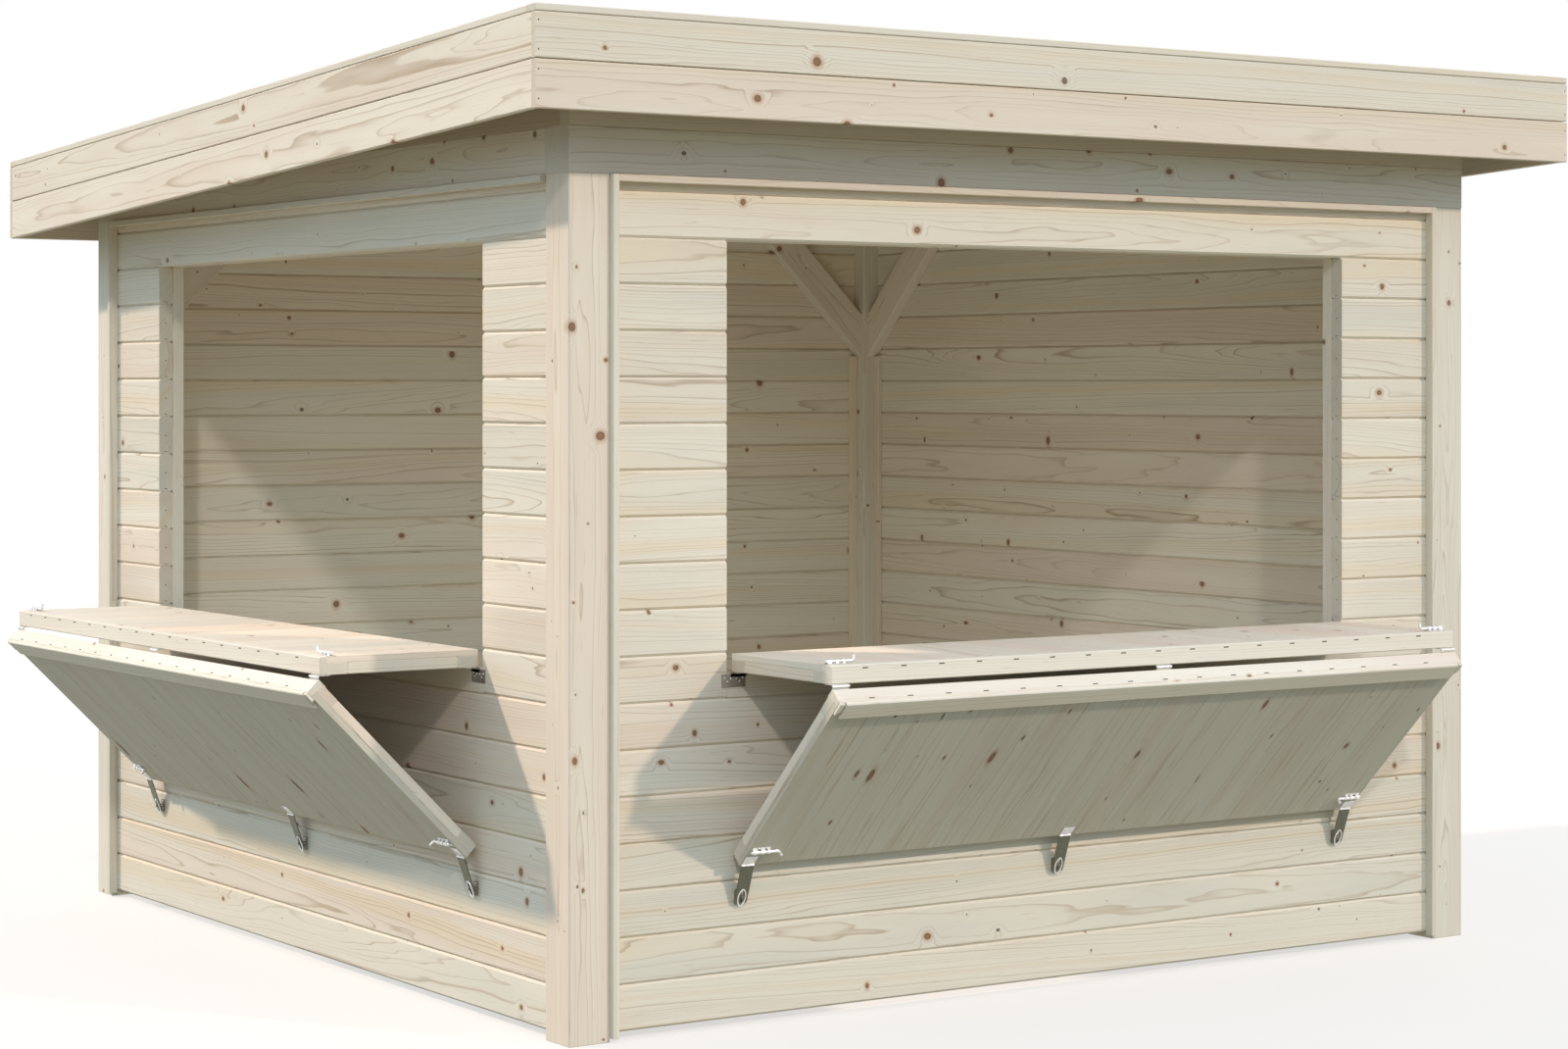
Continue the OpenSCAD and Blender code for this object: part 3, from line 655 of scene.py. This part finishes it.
# rafters: deep over the front beam, shallow at the back, with a tail under the eaves
rafterSizes = {"thick": 0.045, "count": 6, "tail": 0.080}
pile = Pile("rafter_timbers", roofSpruce, "frame_timber", replaced=["rafters"], seed=71)
beamTop = frontBeam[1][2]
y0, y1, wallLine = rafterBox[0][1], rafterBox[1][1], frontBeam[0][1]
seat = wallLine + wallThick                      # behind the front board over the beam
thick, tail = rafterSizes["thick"], rafterSizes["tail"]
outline = [(y0, deckUnder(y0) - tail), (seat, deckUnder(seat) - tail), (seat, beamTop),
           (y1, beamTop), (y1, deckUnder(y1)), (y0, deckUnder(y0))]
x0, x1 = rafterBox[0][0], rafterBox[1][0]
rafterStep = (x1 - x0 - thick) / (rafterSizes["count"] - 1)
for i in range(rafterSizes["count"]):
    pile.member(alongX * (x0 + i * rafterStep), alongX, alongY, up, thick, outline, ease=0.001,
                order=(1, 2, 0))
pile.place()

# a board over the front beam up to the tails, and blocks between the rafters front and back
pile = Pile("eaves_block_timbers", postSpruce, "frame_timber", replaced=["eaves_blocks"], seed=72)
backNear = planCentre[1] + boardFace - wallThick
feet = [(wallLine, deckUnder(wallLine) - tail), (seat, deckUnder(seat) - tail)]
pile.member(alongX * x0, alongX, alongY, up, x1 - x0,
            [(wallLine, beamTop), (seat, beamTop), feet[1], feet[0]], ease=0.0, order=(0, 2, 1))
for (near, low), (far, high) in (feet, [(backNear, beamTop), (backNear + wallThick, beamTop)]):
    outline = [(near, low), (far, high), (far, deckUnder(far) - roofSizes["clear"]),
               (near, deckUnder(near) - roofSizes["clear"])]
    for i in range(rafterSizes["count"] - 1):
        pile.member(alongX * (x0 + i * rafterStep + thick), alongX, alongY, up,
                    rafterStep - thick, outline, ease=0.0, order=(0, 2, 1))
pile.place()

# roof boards across the rafters, bevelled joints underneath
pile = Pile("roof_boards", roofSpruce, "roof_boards", replaced=["roof_deck"], seed=73)
slopeLength = (deckBox[1][1] - deckBox[0][1] - roofSizes["backGap"]) / downSlope[1]
boardCount = round(slopeLength / roofSizes["boardPitch"])
pitch = slopeLength / boardCount
for i in range(boardCount):
    y = deckBox[0][1] + i * pitch * downSlope[1]
    board = jointed(pitch, roofSizes["thick"] * roofSizes["boardShare"], roofSizes["bevel"],
                    tongue=i < boardCount - 1, gap=roofSizes["boardGap"])
    pile.member(np.array([deckBox[0][0], y, deckUnder(y)]), alongX, downSlope, offSlope,
                deckBox[1][0] - deckBox[0][0], board)
pile.place()

# fascias: two boards deep, the front and back ones over the ends of the side ones
fasciaSizes = {"joint": 0.1175, "gap": 0.0025, "topGap": 0.0015, "arris": 0.002}
for number, name in enumerate(("front", "back", "left", "right")):
    node = "fascia_" + name
    low, high = lowHigh(node)
    pile = Pile(node + "_boards", trimSpruce, "trim_timber", replaced=[node], seed=81 + number)
    if name in ("front", "back"):
        thick, total, length = high[1] - low[1], high[2] - low[2], high[0] - low[0]
        start, run, over = low, alongX, alongY
    else:
        thick, length = high[0] - low[0], high[1] - low[1]
        total = frontFascia[1][2] - frontFascia[0][2] - thick * slope
        start, run, over = np.array([low[0], low[1], high[2] - total]), fall, alongX
    joint = fasciaSizes["joint"]
    for z0, z1 in ((0.0, joint), (joint + fasciaSizes["gap"], total - fasciaSizes["topGap"])):
        pile.member(start + up * z0, run, up, over, length,
                    eased(z1 - z0, thick, fasciaSizes["arris"]), ease=0.0)
    pile.place()

# flat strips on the roof's edge
pile = Pile("roof_edge_strips", trimSpruce, "trim_timber", replaced=["roof_trim"], seed=85)
stripSizes = {"wide": 0.045, "thick": 0.0178, "arris": 0.002, "up": 0.0001}
wide = stripSizes["wide"]
strip = eased(wide, stripSizes["thick"], stripSizes["arris"])
(x0, y0, low), (x1, y1, high) = trimBox
for x, y, run, over, length in ((x0, y0, alongX, fall, x1 - x0), (x0, y1 - wide, alongX, fall, x1 - x0),
                                (x0, y0 + wide, fall, alongX, y1 - y0 - 2 * wide),
                                (x1 - wide, y0 + wide, fall, alongX, y1 - y0 - 2 * wide)):
    pile.member(np.array([x, y, deckTop(y) + stripSizes["up"]]), run, over, up, length, strip)
pile.place()
print("roof made")

# nail heads: one in the end of each board at an opening, two in each board's end at a roof corner
nailSizes = {"head": 0.0024, "sunk": 0.0007, "sunkBehind": 0.0013, "edge": 0.009, "low": 0.022,
             "high": 0.092, "clear": 0.02}
worldBench = (np.zeros(3), alongX, alongY, up)
nails = Ironwork("jamb_nails", stapleSteel, "root", [], worldBench)
rows = np.arange(math.ceil((sillTop - wallFoot) / wallSizes["pitch"]),
                 math.floor((headUnder - wallFoot) / wallSizes["pitch"]) + 1)
heights = wallFoot + (rows - 0.5) * wallSizes["pitch"]
for side in (front, left):
    for hand in (-1, 1):
        for z in heights:
            if sillTop + nailSizes["clear"] < z < headUnder - nailSizes["clear"]:
                nails.screw(side.at(hand * (openingHalf + nailSizes["sunk"]), -wallThick / 2, z),
                            side.along * -hand, nailSizes["head"])
nails.place()
nails = Ironwork("fascia_nails", stapleSteel, "root", [], worldBench)
for (low, high), y, outward in ((frontFascia, frontFascia[0][1] + nailSizes["sunk"], -1),
                                (backFascia, backFascia[1][1] - nailSizes["sunkBehind"], 1)):
    for x in (low[0] + nailSizes["edge"], high[0] - nailSizes["edge"]):
        for board in (0.0, fasciaSizes["joint"]):
            for rise in (nailSizes["low"], nailSizes["high"]):
                nails.screw((x, y, low[2] + board + rise), (0, outward, 0), nailSizes["head"])
nails.place()
print("nails driven")

# a counter hinged at the sill, and a prop hinged to its outer edge and folded back under it
panelSizes = {"board": 0.016, "rail": 0.060, "strip": 0.018, "boards": 18, "arris": 0.0025,
              "bevel": 0.001, "boardGap": 0.0002, "foldDrop": 0.0045, "propNear": 0.004,
              "propThick": 0.042, "hingeUp": 0.005, "hingeOut": 0.006, "headGap": 0.005}
coverSizes = {"wide": 0.055, "thick": 0.010, "short": 0.019}
crampSizes = {"long": 0.038, "wide": 0.014, "thick": 0.008, "in": 0.002, "arris": 0.001,
              "rake": -0.9, "fromStart": 0.001, "fromCover": 0.004}
hingeHeight = sillTop + panelSizes["hingeUp"]


def panelPieces(side, part, facing, material, place, run, face, start, end, deep, half, seed):
    # boards side by side, held by two long rails and three short ones;
    # place(s, t, u): s along the wall, t along the boards, u off the rails' own face
    sizes, across, body = panelSizes, side.along, side.name + "_" + part
    pitch, rail = 2 * half / sizes["boards"], sizes["rail"]
    pile = Pile(body + facing, material, "counter_timber", body, [body + "_boards"], seed)
    for i in range(sizes["boards"]):
        board = jointed(pitch, sizes["board"], sizes["bevel"], tongue=i < sizes["boards"] - 1,
                        groove=i > 0, gap=sizes["boardGap"])
        pile.member(place(-half + i * pitch, start, deep), run, across, face, end - start, board,
                    ease=0.0006)
    pile.place()
    pile = Pile(body + "_rails", counterSpruce, "counter_timber", body, [body + "_frame"], seed + 1)
    section = eased(rail, deep, sizes["arris"])
    for t in (start, end - rail):
        pile.member(place(-half, t, 0), across, run, face, 2 * half, section)
    for s in (-half, -rail / 2, half - rail):
        pile.member(place(s, start + rail, 0), run, across, face, end - start - 2 * rail, section)
    pile.place()


def edgePile(side, part, place, t, run, face, thick, half, seed):
    # the strip on a panel's long edge; the pile is handed back for what lies on it
    body = side.name + "_" + part
    pile = Pile(body + "_edge", edgeSpruce, "counter_timber", body, [], seed + 20)
    pile.member(place(-half, t, 0), side.along, run, face, 2 * half,
                eased(panelSizes["strip"], thick, panelSizes["arris"]))
    return pile


def counterPieces(side, seed):
    corners = lowHigh(side.name + "_counter_frame")
    half = max(float((corner - planCentre) @ side.along) for corner in corners)
    inner, outer = sorted(side.outOf(corner) for corner in corners)
    under, top = corners[0][2], corners[1][2]
    deep = lowHigh(side.name + "_counter_boards")[0][2] - under
    stripNear = outer - panelSizes["strip"]
    run = side.outward

    def place(s, t, u):
        return side.at(s, t, under + u)

    panelPieces(side, "counter", "_top", litTopSpruce, place, run, up, inner, stripNear, deep, half,
                seed)
    edgePile(side, "counter", place, stripNear, run, up, top - under, half, seed).place()
    return half, outer, under, top


def propPieces(side, half, seed):
    # the prop's own axes: t down its slope from the fold, u off its hidden face
    sizes = panelSizes
    foldOut, foldHeight = side.joint("_prop_hinge")
    lean = math.sqrt(0.5)
    fall, face = side.way(0, -lean, -lean), side.way(0, lean, -lean)
    near, flat = sizes["propNear"], sizes["propThick"]
    far = headUnder - sizes["headGap"] - (hingeHeight + foldOut - sizes["hingeOut"])

    def place(s, t, u):
        return side.at(s, foldOut, foldHeight) + fall * t + face * (sizes["foldDrop"] + u)

    panelPieces(side, "prop", "_face", shadedPropSpruce, place, fall, face, near + sizes["strip"], far,
                flat - sizes["board"], half, seed)
    pile = edgePile(side, "prop", place, near, fall, face, flat, half, seed)
    short = coverSizes["short"]                  # a cover strip, and a cramp block past each end
    pile.member(place(short - half, near, flat), side.along, fall, face, 2 * (half - short),
                eased(coverSizes["wide"], coverSizes["thick"], sizes["arris"]))
    for s in (-half + crampSizes["fromStart"], half - short + crampSizes["fromCover"]):
        pile.member(place(s, near + crampSizes["in"], flat), fall, side.along, face,
                    crampSizes["long"],
                    eased(crampSizes["wide"], crampSizes["thick"], crampSizes["arris"]),
                    rakes=((0.0, 0.0), (crampSizes["rake"], 0.0)), ease=0.0)
    pile.place()
    bench = (place(0, 0, 0), side.along, fall, face)
    return bench, far


hingeSizes = {"long": 0.050, "leaf": 0.032, "thick": 0.002, "knuckle": 0.003, "pin": 0.0015,
              "parts": 5, "slack": 0.0003, "tabGap": 0.0002, "pinOut": 0.0008, "screw": 0.0032}
tabSizes = {"lap": 0.0005, "dip": 0.0008, "trim": 0.0004, "counterIn": 0.0021, "counter": 0.0012,
            "propIn": 0.0022, "prop": 0.0016}
hingeScrews = ((-0.016, 0.35), (0.0, 0.7), (0.016, 0.35))    # along the hinge, share of the leaf
ironSizes = {"boltInset": 0.038, "propBoltInset": 0.060, "boltEnd": 0.008, "haspEnd": 0.004,
             "stapleOut": 0.016}


def partMiddles(s, odd):
    # a hinge's length is shared out; one leaf has the odd parts, the other the even ones
    size = hingeSizes
    step = size["long"] / size["parts"]
    return [s + (k + 0.5) * step - size["long"] / 2 for k in range(0 if odd else 1, size["parts"], 2)]


def knuckleRow(iron, s, b, c, odd):
    size = hingeSizes
    for middle in partMiddles(s, odd):
        iron.barrel((middle, b, c), size["long"] / size["parts"] - size["slack"], size["knuckle"])


def fingers(iron, s, b, c, odd, wide, thick, radius=0.0004):
    # the tabs by which a leaf runs on into its knuckles
    size = hingeSizes
    for middle in partMiddles(s, odd):
        iron.plate((middle, b, c), size["long"] / size["parts"] - 2 * size["tabGap"], wide, thick,
                   radius)


def hingePin(iron, s, b, c):
    iron.barrel((s, b, c), hingeSizes["long"] + 2 * hingeSizes["pinOut"], hingeSizes["pin"])


boltSizes = {"plate": 0.058, "high": 0.024, "thick": 0.0016, "rodRadius": 0.0042, "rodUp": 0.007,
             "rod": 0.076, "bend": 0.007, "handle": 0.0155, "screwOut": 0.0088, "screw": 0.0022,
             "screws": (0.0205, 0.041), "arch": (0.0062, 0.0060), "bore": (0.0046, 0.0044),
             "foot": 0.0108, "footUp": (0.0030, 0.0032), "end": 0.001}
boltGuides = ((0.002, 0.013), (0.026, 0.010), (0.046, 0.008))         # start, width


def barrelBolt(plate, bright, s, hand, b, c):
    # plate, arched guides, and a rod bent up at its inner end as a handle
    size = boltSizes
    thick, rodUp, bend = size["thick"], size["rodUp"], size["bend"]
    plate.plate((s + hand * size["plate"] / 2, b - size["high"] / 2, c), size["plate"],
                size["high"], thick)
    # an arch's section: half an ellipse outside, half a smaller one inside, over two flat feet
    turn = np.linspace(0, math.pi, 9)
    ring = np.column_stack([np.cos(turn), np.sin(turn)])
    outer = ring * size["arch"] + [0, rodUp]
    inner = ring[::-1] * size["bore"] + [0, rodUp]
    foot, (low, high) = size["foot"], size["footUp"]
    feet = np.array([[foot, thick], [foot, low], [size["arch"][0], high]])
    leg = size["bore"][0]
    arch = np.concatenate([feet, outer, feet[::-1] * [-1, 1], [[-leg, thick]], inner,
                           [[leg, thick]]])
    for value, wide in boltGuides:
        start = min(s + hand * value, s + hand * (value + wide))
        bright.member(bright.world((start, b, c)), *bright.ways, wide, arch, ease=0.0)
    turn = np.linspace(0, math.pi / 2, 6)[1:]
    bow = np.column_stack([size["rod"] + bend * np.sin(turn), rodUp + bend * (1 - np.cos(turn))])
    reach = size["rod"] + bend
    top, end = rodUp + size["handle"], size["end"]
    line = np.concatenate([[[-end, rodUp], [0.0, rodUp], [size["rod"], rodUp]], bow,
                           [[reach, top], [reach, top + end]]])
    path = np.column_stack([s + hand * line[:, 0], np.full(len(line), b), c + line[:, 1]])
    radii = np.full(len(path), size["rodRadius"])
    radii[[0, -1]] *= [0.7, 0.6]
    bright.round(path, radii)
    for value in size["screws"]:
        for way in (-1, 1):
            bright.screw((s + hand * value, b + way * size["screwOut"], c + thick), (0, 0, 1),
                         size["screw"])


sillPlate = {"wide": 0.072, "high": 0.034, "shift": 0.016, "lip": 0.008, "lipHigh": 0.011,
             "screw": 0.0024}
sillScrews = ((-0.027, -0.010), (-0.018, -0.019), (-0.009, -0.012),
              (0.027, -0.010), (0.018, -0.019), (0.009, -0.012))
strapSizes = {"wide": 0.038, "long": 0.108, "thick": 0.0025, "eye": 0.018, "top": 0.0038,
              "corner": 0.008, "slotHalf": 0.004, "slotEnd": 0.005, "slotLong": 0.032,
              "ring": (0.0112, 0.0235), "ringDown": 0.004, "ringWire": 0.0018, "ringUp": 0.0009,
              "tabIn": 0.0018, "tab": 0.0030}
haspLeaf = {"inset": 0.004, "gap": 0.001, "screwOut": 0.007, "screwIn": 0.021, "screw": 0.0028,
            "tab": 0.0035, "tabIn": 0.002}
loopSizes = {"wide": 0.024, "high": 0.038, "corner": 0.005, "screwOut": 0.013, "screw": 0.003,
             "half": 0.0035, "reach": 0.020, "root": 0.001, "wire": 0.0014}


def wallIron(side, hinges, hasps, hang):
    size, sill, loop, bench = hingeSizes, sillPlate, loopSizes, side.bench()
    heads = Ironwork(side.name + "_wall_screws", zincBright, "root", [], bench)
    iron = Ironwork(side.name + "_sill_hinges", zincDull, "root",
                    [side.name + "_wall_ironwork"], bench)
    leafTop, out, lap = hingeHeight - size["knuckle"], panelSizes["hingeOut"], tabSizes["lap"]
    for s in hinges:
        middle = s + sill["shift"] * np.sign(s)  # the end plates stand out past the counter
        iron.plate((middle, 0.0, leafTop - sill["high"]), sill["wide"], sill["high"],
                   size["thick"], axes=(0, 2, 1))
        iron.plate((s, 0.0, leafTop - sill["lip"]), size["long"], sill["lipHigh"], size["thick"],
                   axes=(0, 2, 1))
        fingers(iron, s, lap, leafTop - lap, True, out - lap, size["thick"], radius=0.0006)
        for ds, dz in sillScrews:
            heads.screw((middle + ds, size["thick"], leafTop + dz), (0, 1, 0), sill["screw"])
        knuckleRow(iron, s, out, hingeHeight, True)
        hingePin(iron, s, out, hingeHeight)
    hung = strapSizes["long"] - strapSizes["eye"]
    lean = math.asin((hang[0] - ironSizes["stapleOut"]) / hung)
    height = hang[1] - hung * math.cos(lean)
    # a staple's loop: two legs out of the plate, joined by half a circle round (reach, height)
    turn = np.linspace(-math.pi / 2, math.pi / 2, 9)
    bow = np.concatenate([[[loop["root"], -loop["half"]]], np.column_stack([
        loop["reach"] + loop["half"] * np.cos(turn), loop["half"] * np.sin(turn)]),
        [[loop["root"], loop["half"]]]])
    for s in hasps:
        iron.plate((s, 0.0, height - loop["high"] / 2), loop["wide"], loop["high"],
                   size["thick"], loop["corner"], axes=(0, 2, 1))
        for dz in (-loop["screwOut"], loop["screwOut"]):
            heads.screw((s, size["thick"], height + dz), (0, 1, 0), loop["screw"])
        path = np.column_stack([np.full(len(bow), s), bow[:, 0], height + bow[:, 1]])
        iron.round(path, loop["wire"], 10)
    iron.place()
    heads.place()
    return lean


def panelPiles(side, part, bench):
    body = side.name + part
    return (Ironwork(body + "_hinges", zincPlate, body, [body + "_ironwork"], bench),
            Ironwork(body + "_bolts", zincBright, body, [], bench))


def boltAndPlace(plate, bright, half, b, c):
    for hand in (-1, 1):
        barrelBolt(plate, bright, hand * (half - ironSizes["boltEnd"]), -hand, b, c)
    plate.place()
    bright.place()


def counterIron(side, half, hinges, outer, under, top):
    size, tab = hingeSizes, tabSizes
    plate, bright = panelPiles(side, "_counter", side.bench())
    foldOut, foldHeight = side.joint("_prop_hinge")
    out, knuckle, thick = panelSizes["hingeOut"], size["knuckle"], size["thick"]
    for s in hinges:
        for near in (out + knuckle, foldOut - knuckle - size["leaf"]):
            plate.plate((s, near, under - thick), size["long"], size["leaf"], thick)
            for ds, share in hingeScrews:
                plate.screw((s + ds, near + size["leaf"] * share, under - thick), (0, 0, -1),
                            size["screw"])
        fingers(plate, s, out + tab["counterIn"], under - thick, False, tab["counter"], thick)
        fingers(plate, s, foldOut - knuckle - tab["lap"], under - thick - tab["dip"], True, thick,
                thick - tab["trim"])
        knuckleRow(plate, s, out, hingeHeight, False)
        knuckleRow(bright, s, foldOut, foldHeight, True)
        hingePin(bright, s, foldOut, foldHeight)
    boltAndPlace(plate, bright, half, outer - ironSizes["boltInset"], top)


def propIron(side, bench, half, hinges, hasps, far):
    size, tab, flat = hingeSizes, tabSizes, panelSizes["propThick"]
    plate, bright = panelPiles(side, "_prop", bench)
    knuckle, thick, wide = size["knuckle"], size["thick"], strapSizes["wide"]
    for s in hinges:
        plate.plate((s, knuckle, -thick), size["long"], size["leaf"], thick)
        fingers(plate, s, tab["propIn"], -thick - tab["dip"], False, tab["prop"],
                thick + tab["trim"])
        knuckleRow(bright, s, 0.0, -panelSizes["foldDrop"], False)
    # the hasps' leaves: three knuckles over the strap's width, the middle one on the strap
    leaf, slack = haspLeaf, size["slack"]
    along, third, pinUp = far - leaf["inset"], wide / 3, flat + knuckle + size["slack"]
    for s in hasps:
        plate.plate((s, along - size["leaf"], flat), wide, size["leaf"] - knuckle - leaf["gap"],
                    thick)
        for way in (-1, 1):
            plate.screw((s + way * leaf["screwOut"], along - leaf["screwIn"], flat + thick),
                        (0, 0, 1), leaf["screw"])
            middle = s + way * third
            plate.plate((middle, along - knuckle - leaf["tabIn"], flat + size["tabGap"]),
                        third - 2 * slack, leaf["tab"], thick - 2 * size["tabGap"], 0.0005)
            bright.barrel((middle, along, pinUp), third - slack, knuckle)
        bright.barrel((s, along, pinUp), wide, size["pin"])
    boltAndPlace(plate, bright, half, far - ironSizes["propBoltInset"], flat)


def haspIron(side, hasps, hang, lean):
    # straps with a long slot, hung from their knuckles and leaning in to the staples
    size, body = strapSizes, side.name + "_hasps"
    away = side.way(0, math.cos(lean), -math.sin(lean))
    drop = side.way(0, -math.sin(lean), -math.cos(lean))
    bench = (side.at(0, hang[0], hang[1]), side.along, drop, away)
    strap = Ironwork(side.name + "_hasp_straps", strapSteel, body, [body], bench)
    bright = Ironwork(side.name + "_hasp_knuckles", zincBright, body, [], bench)
    wide, long, thick, slot, curve = (size[key] for key in ("wide", "long", "thick", "slotHalf",
                                                           "corner"))
    slotFar = long - size["slotEnd"]
    slotNear = slotFar - size["slotLong"]
    # half a strap, mirrored for the other: rounded foot, then up the slot's side between two arcs
    turn = np.linspace(0, math.pi / 2, 5)
    cos, sin = np.cos(turn), np.sin(turn)
    outline = np.concatenate([
        [[0.0, size["top"]], [wide / 2, size["top"]]],
        np.column_stack([wide / 2 - curve + curve * cos, long - curve + curve * sin]),
        [[0.0, long], [0.0, slotFar]],
        np.column_stack([slot * sin, slotFar - slot + slot * cos])[1:],
        np.column_stack([slot * cos, slotNear + slot - slot * sin])])
    # a ring of wire round the slot, a little squarer than an ellipse
    turn = np.arange(24) * math.pi / 12
    cos, sin = np.cos(turn), np.sin(turn)
    across, down = size["ring"]
    ring = np.column_stack([across * cos * np.abs(cos) ** 0.25,
                            (slotFar + slotNear) / 2 + size["ringDown"] + down * sin,
                            np.full(24, thick / 2 + size["ringUp"])])
    third, knuckle, gap = wide / 3, hingeSizes["knuckle"], hingeSizes["tabGap"]
    for s in hasps:
        for hand in (-1, 1):
            strap.member(strap.world((s, 0, -thick / 2)), *np.roll(strap.ways, 1, 0), thick,
                         outline * [hand, 1.0], ease=0.0)
        bright.round(ring + [s, 0, 0], size["ringWire"], 8, closed=True)
        bright.barrel((s, 0, 0), third - 2 * gap, knuckle)
        strap.plate((s, size["tabIn"], -thick / 2), third - 4 * gap, size["tab"], thick, 0.0005)
    strap.place()
    bright.place()


stapleSizes = {"crown": 0.017, "wire": 0.0030, "thick": 0.0005, "down": 0.0105, "propUp": 0.0325,
               "sunk": 0.0002, "propSunk": 0.0003, "share": 0.86}


def stapleRow(side, part, bench, half, b, c):
    # staple crowns along a panel's edge strip, one in each board but the last
    size, body = stapleSizes, side.name + "_" + part
    count = panelSizes["boards"]
    row = Ironwork(body + "_staples", stapleSteel, body, [], bench)
    for s in -half + (np.arange(count - 1) + size["share"]) * 2 * half / count:
        row.plate((s, b, c), size["crown"], size["wire"], size["thick"], 0.0008, ease=0.0001,
                  axes=(0, 2, 1), steps=2)
    row.place()


for side, seed in ((front, 91), (left, 95)):
    half, outer, under, top = counterPieces(side, seed)
    bench, far = propPieces(side, half, seed + 2)
    reachIn = half - hingeSizes["long"] / 2
    hinges = (-reachIn, 0.0, reachIn)
    haspIn = half - strapSizes["wide"] / 2 - ironSizes["haspEnd"]
    hasps = (-haspIn, 0.0, haspIn)
    hang = side.joint("_hasp_hinge")
    lean = wallIron(side, hinges, hasps, hang)
    counterIron(side, half, hinges, outer, under, top)
    propIron(side, bench, half, hinges, hasps, far)
    haspIron(side, hasps, hang, lean)
    stapleRow(side, "counter", side.bench(), half, outer - stapleSizes["sunk"],
              top - stapleSizes["down"])
    stapleRow(side, "prop", bench, half, panelSizes["propNear"] - stapleSizes["propSunk"],
              stapleSizes["propUp"])
print("counters and ironwork made")

# floor, lamps, dome and camera
stageSizes = {"floor": 60.0, "bounce": 0.32, "seen": (0.92, 0.84, 0.74, 1.0), "glow": 0.6,
              "lampAngle": 2.5, "room": 10.5, "roomSoft": 0.6, "roomHigh": 1.0}


def pale():
    # the floor sends little light back up, and shows itself white where nothing shades it
    sheet = Sheet("pale_floor")
    dull = sheet.node("BsdfDiffuse", {}, {"Color": (stageSizes["bounce"],) * 3 + (1.0,)})
    clear = sheet.node("BsdfDiffuse", {}, {"Color": stageSizes["seen"]})
    white = sheet.node("Emission", {}, {"Color": (1.0, 1.0, 1.0, 1.0), "Strength": 1.0})
    backdrop = sheet.node("MixShader", {}, [stageSizes["glow"], clear, white])
    mixed = sheet.node("MixShader", {}, [sheet.seen(), dull, backdrop])
    sheet.node("OutputMaterial", {}, {"Surface": mixed})
    return sheet.material


reach = stageSizes["floor"]
floorMesh = bpy.data.meshes.new("floor")
floorMesh.from_pydata([(-reach, -reach, 0), (reach, -reach, 0), (reach, reach, 0),
                       (-reach, reach, 0)], [], [(0, 1, 2, 3)])
floorMesh.materials.append(pale())
floor = put("floor", floorMesh)
floor.visible_diffuse = False                    # the soft light comes from all round

lamps = [   # which way each lamp's light travels, its colour and its strength, 1 = full light
    ("key", (-0.62, 1.0, -0.65), (1.0, 0.81, 0.66), 0.42),
    ("fill", (0.558, 1.0, -0.67), (1.0, 0.97, 0.95), 0.20),
    ("side", (1.0, -0.89, -1.14), (1.0, 0.82, 0.68), 0.78),
]
for name, way, colour, strength in lamps:
    lamp = bpy.data.lights.new(name, "SUN")
    lamp.color, lamp.energy = colour, strength * math.pi
    lamp.angle = math.radians(stageSizes["lampAngle"])
    put(name, lamp).rotation_euler = Vector(way).to_track_quat("-Z", "Y").to_euler()

roomLamp = bpy.data.lights.new("room", "POINT")  # a weak lamp, so that the inside isn't black
roomLamp.energy, roomLamp.shadow_soft_size = stageSizes["room"], stageSizes["roomSoft"]
put("room", roomLamp).location = planCentre + up * stageSizes["roomHigh"]

domeTones = {"sky": (0.77, 0.97, 1.22, 1.0), "top": (0.44, 0.54, 0.66, 1.0),
             "ground": (0.26, 0.275, 0.21, 1.0)}
domeHeights = {"sky": (-0.1, 0.3), "top": (0.5, 0.95)}    # the z where each begins and is full


def studioDome():
    # soft light from all round: shade = ground below, sky above the skyline, dimmer near the top;
    # seen directly it is plain white
    sheet = Sheet("studio_dome", bpy.data.worlds)
    way = sheet.node("SeparateXYZ", {}, [sheet.node("TexCoord").out("Generated")])
    shade = domeTones["ground"]
    for tone, heights in domeHeights.items():
        shade = sheet.blend(sheet.smooth(way.out("Z"), *heights), shade, domeTones[tone])
    mixed = sheet.node("MixShader", {}, [
        sheet.seen(), sheet.node("Background", {}, [shade]),
        sheet.node("Background", {}, [(1.0, 1.0, 1.0, 1.0)])])
    sheet.node("OutputWorld", {}, [mixed])
    return sheet.material


bpy.context.scene.world = studioDome()

cameraPlace = {"offset": (-4.0728, -7.105, 1.6265), "turn": -33.53, "lens": 76.2, "shift": -0.08755}
camera = bpy.data.cameras.new("camera")
camera.sensor_width, camera.lens, camera.shift_y = 36.0, cameraPlace["lens"], cameraPlace["shift"]
camera.clip_end = 200.0
eye = put("camera", camera)
eye.location = lowHigh("post_front_left")[0] * [1, 1, 0] + cameraPlace["offset"]
eye.rotation_euler = (math.pi / 2, 0.0, math.radians(cameraPlace["turn"]))
bpy.context.scene.camera = eye
bpy.context.scene.view_settings.view_transform = "Standard"
print("stage made")

bpy.context.view_layer.update()
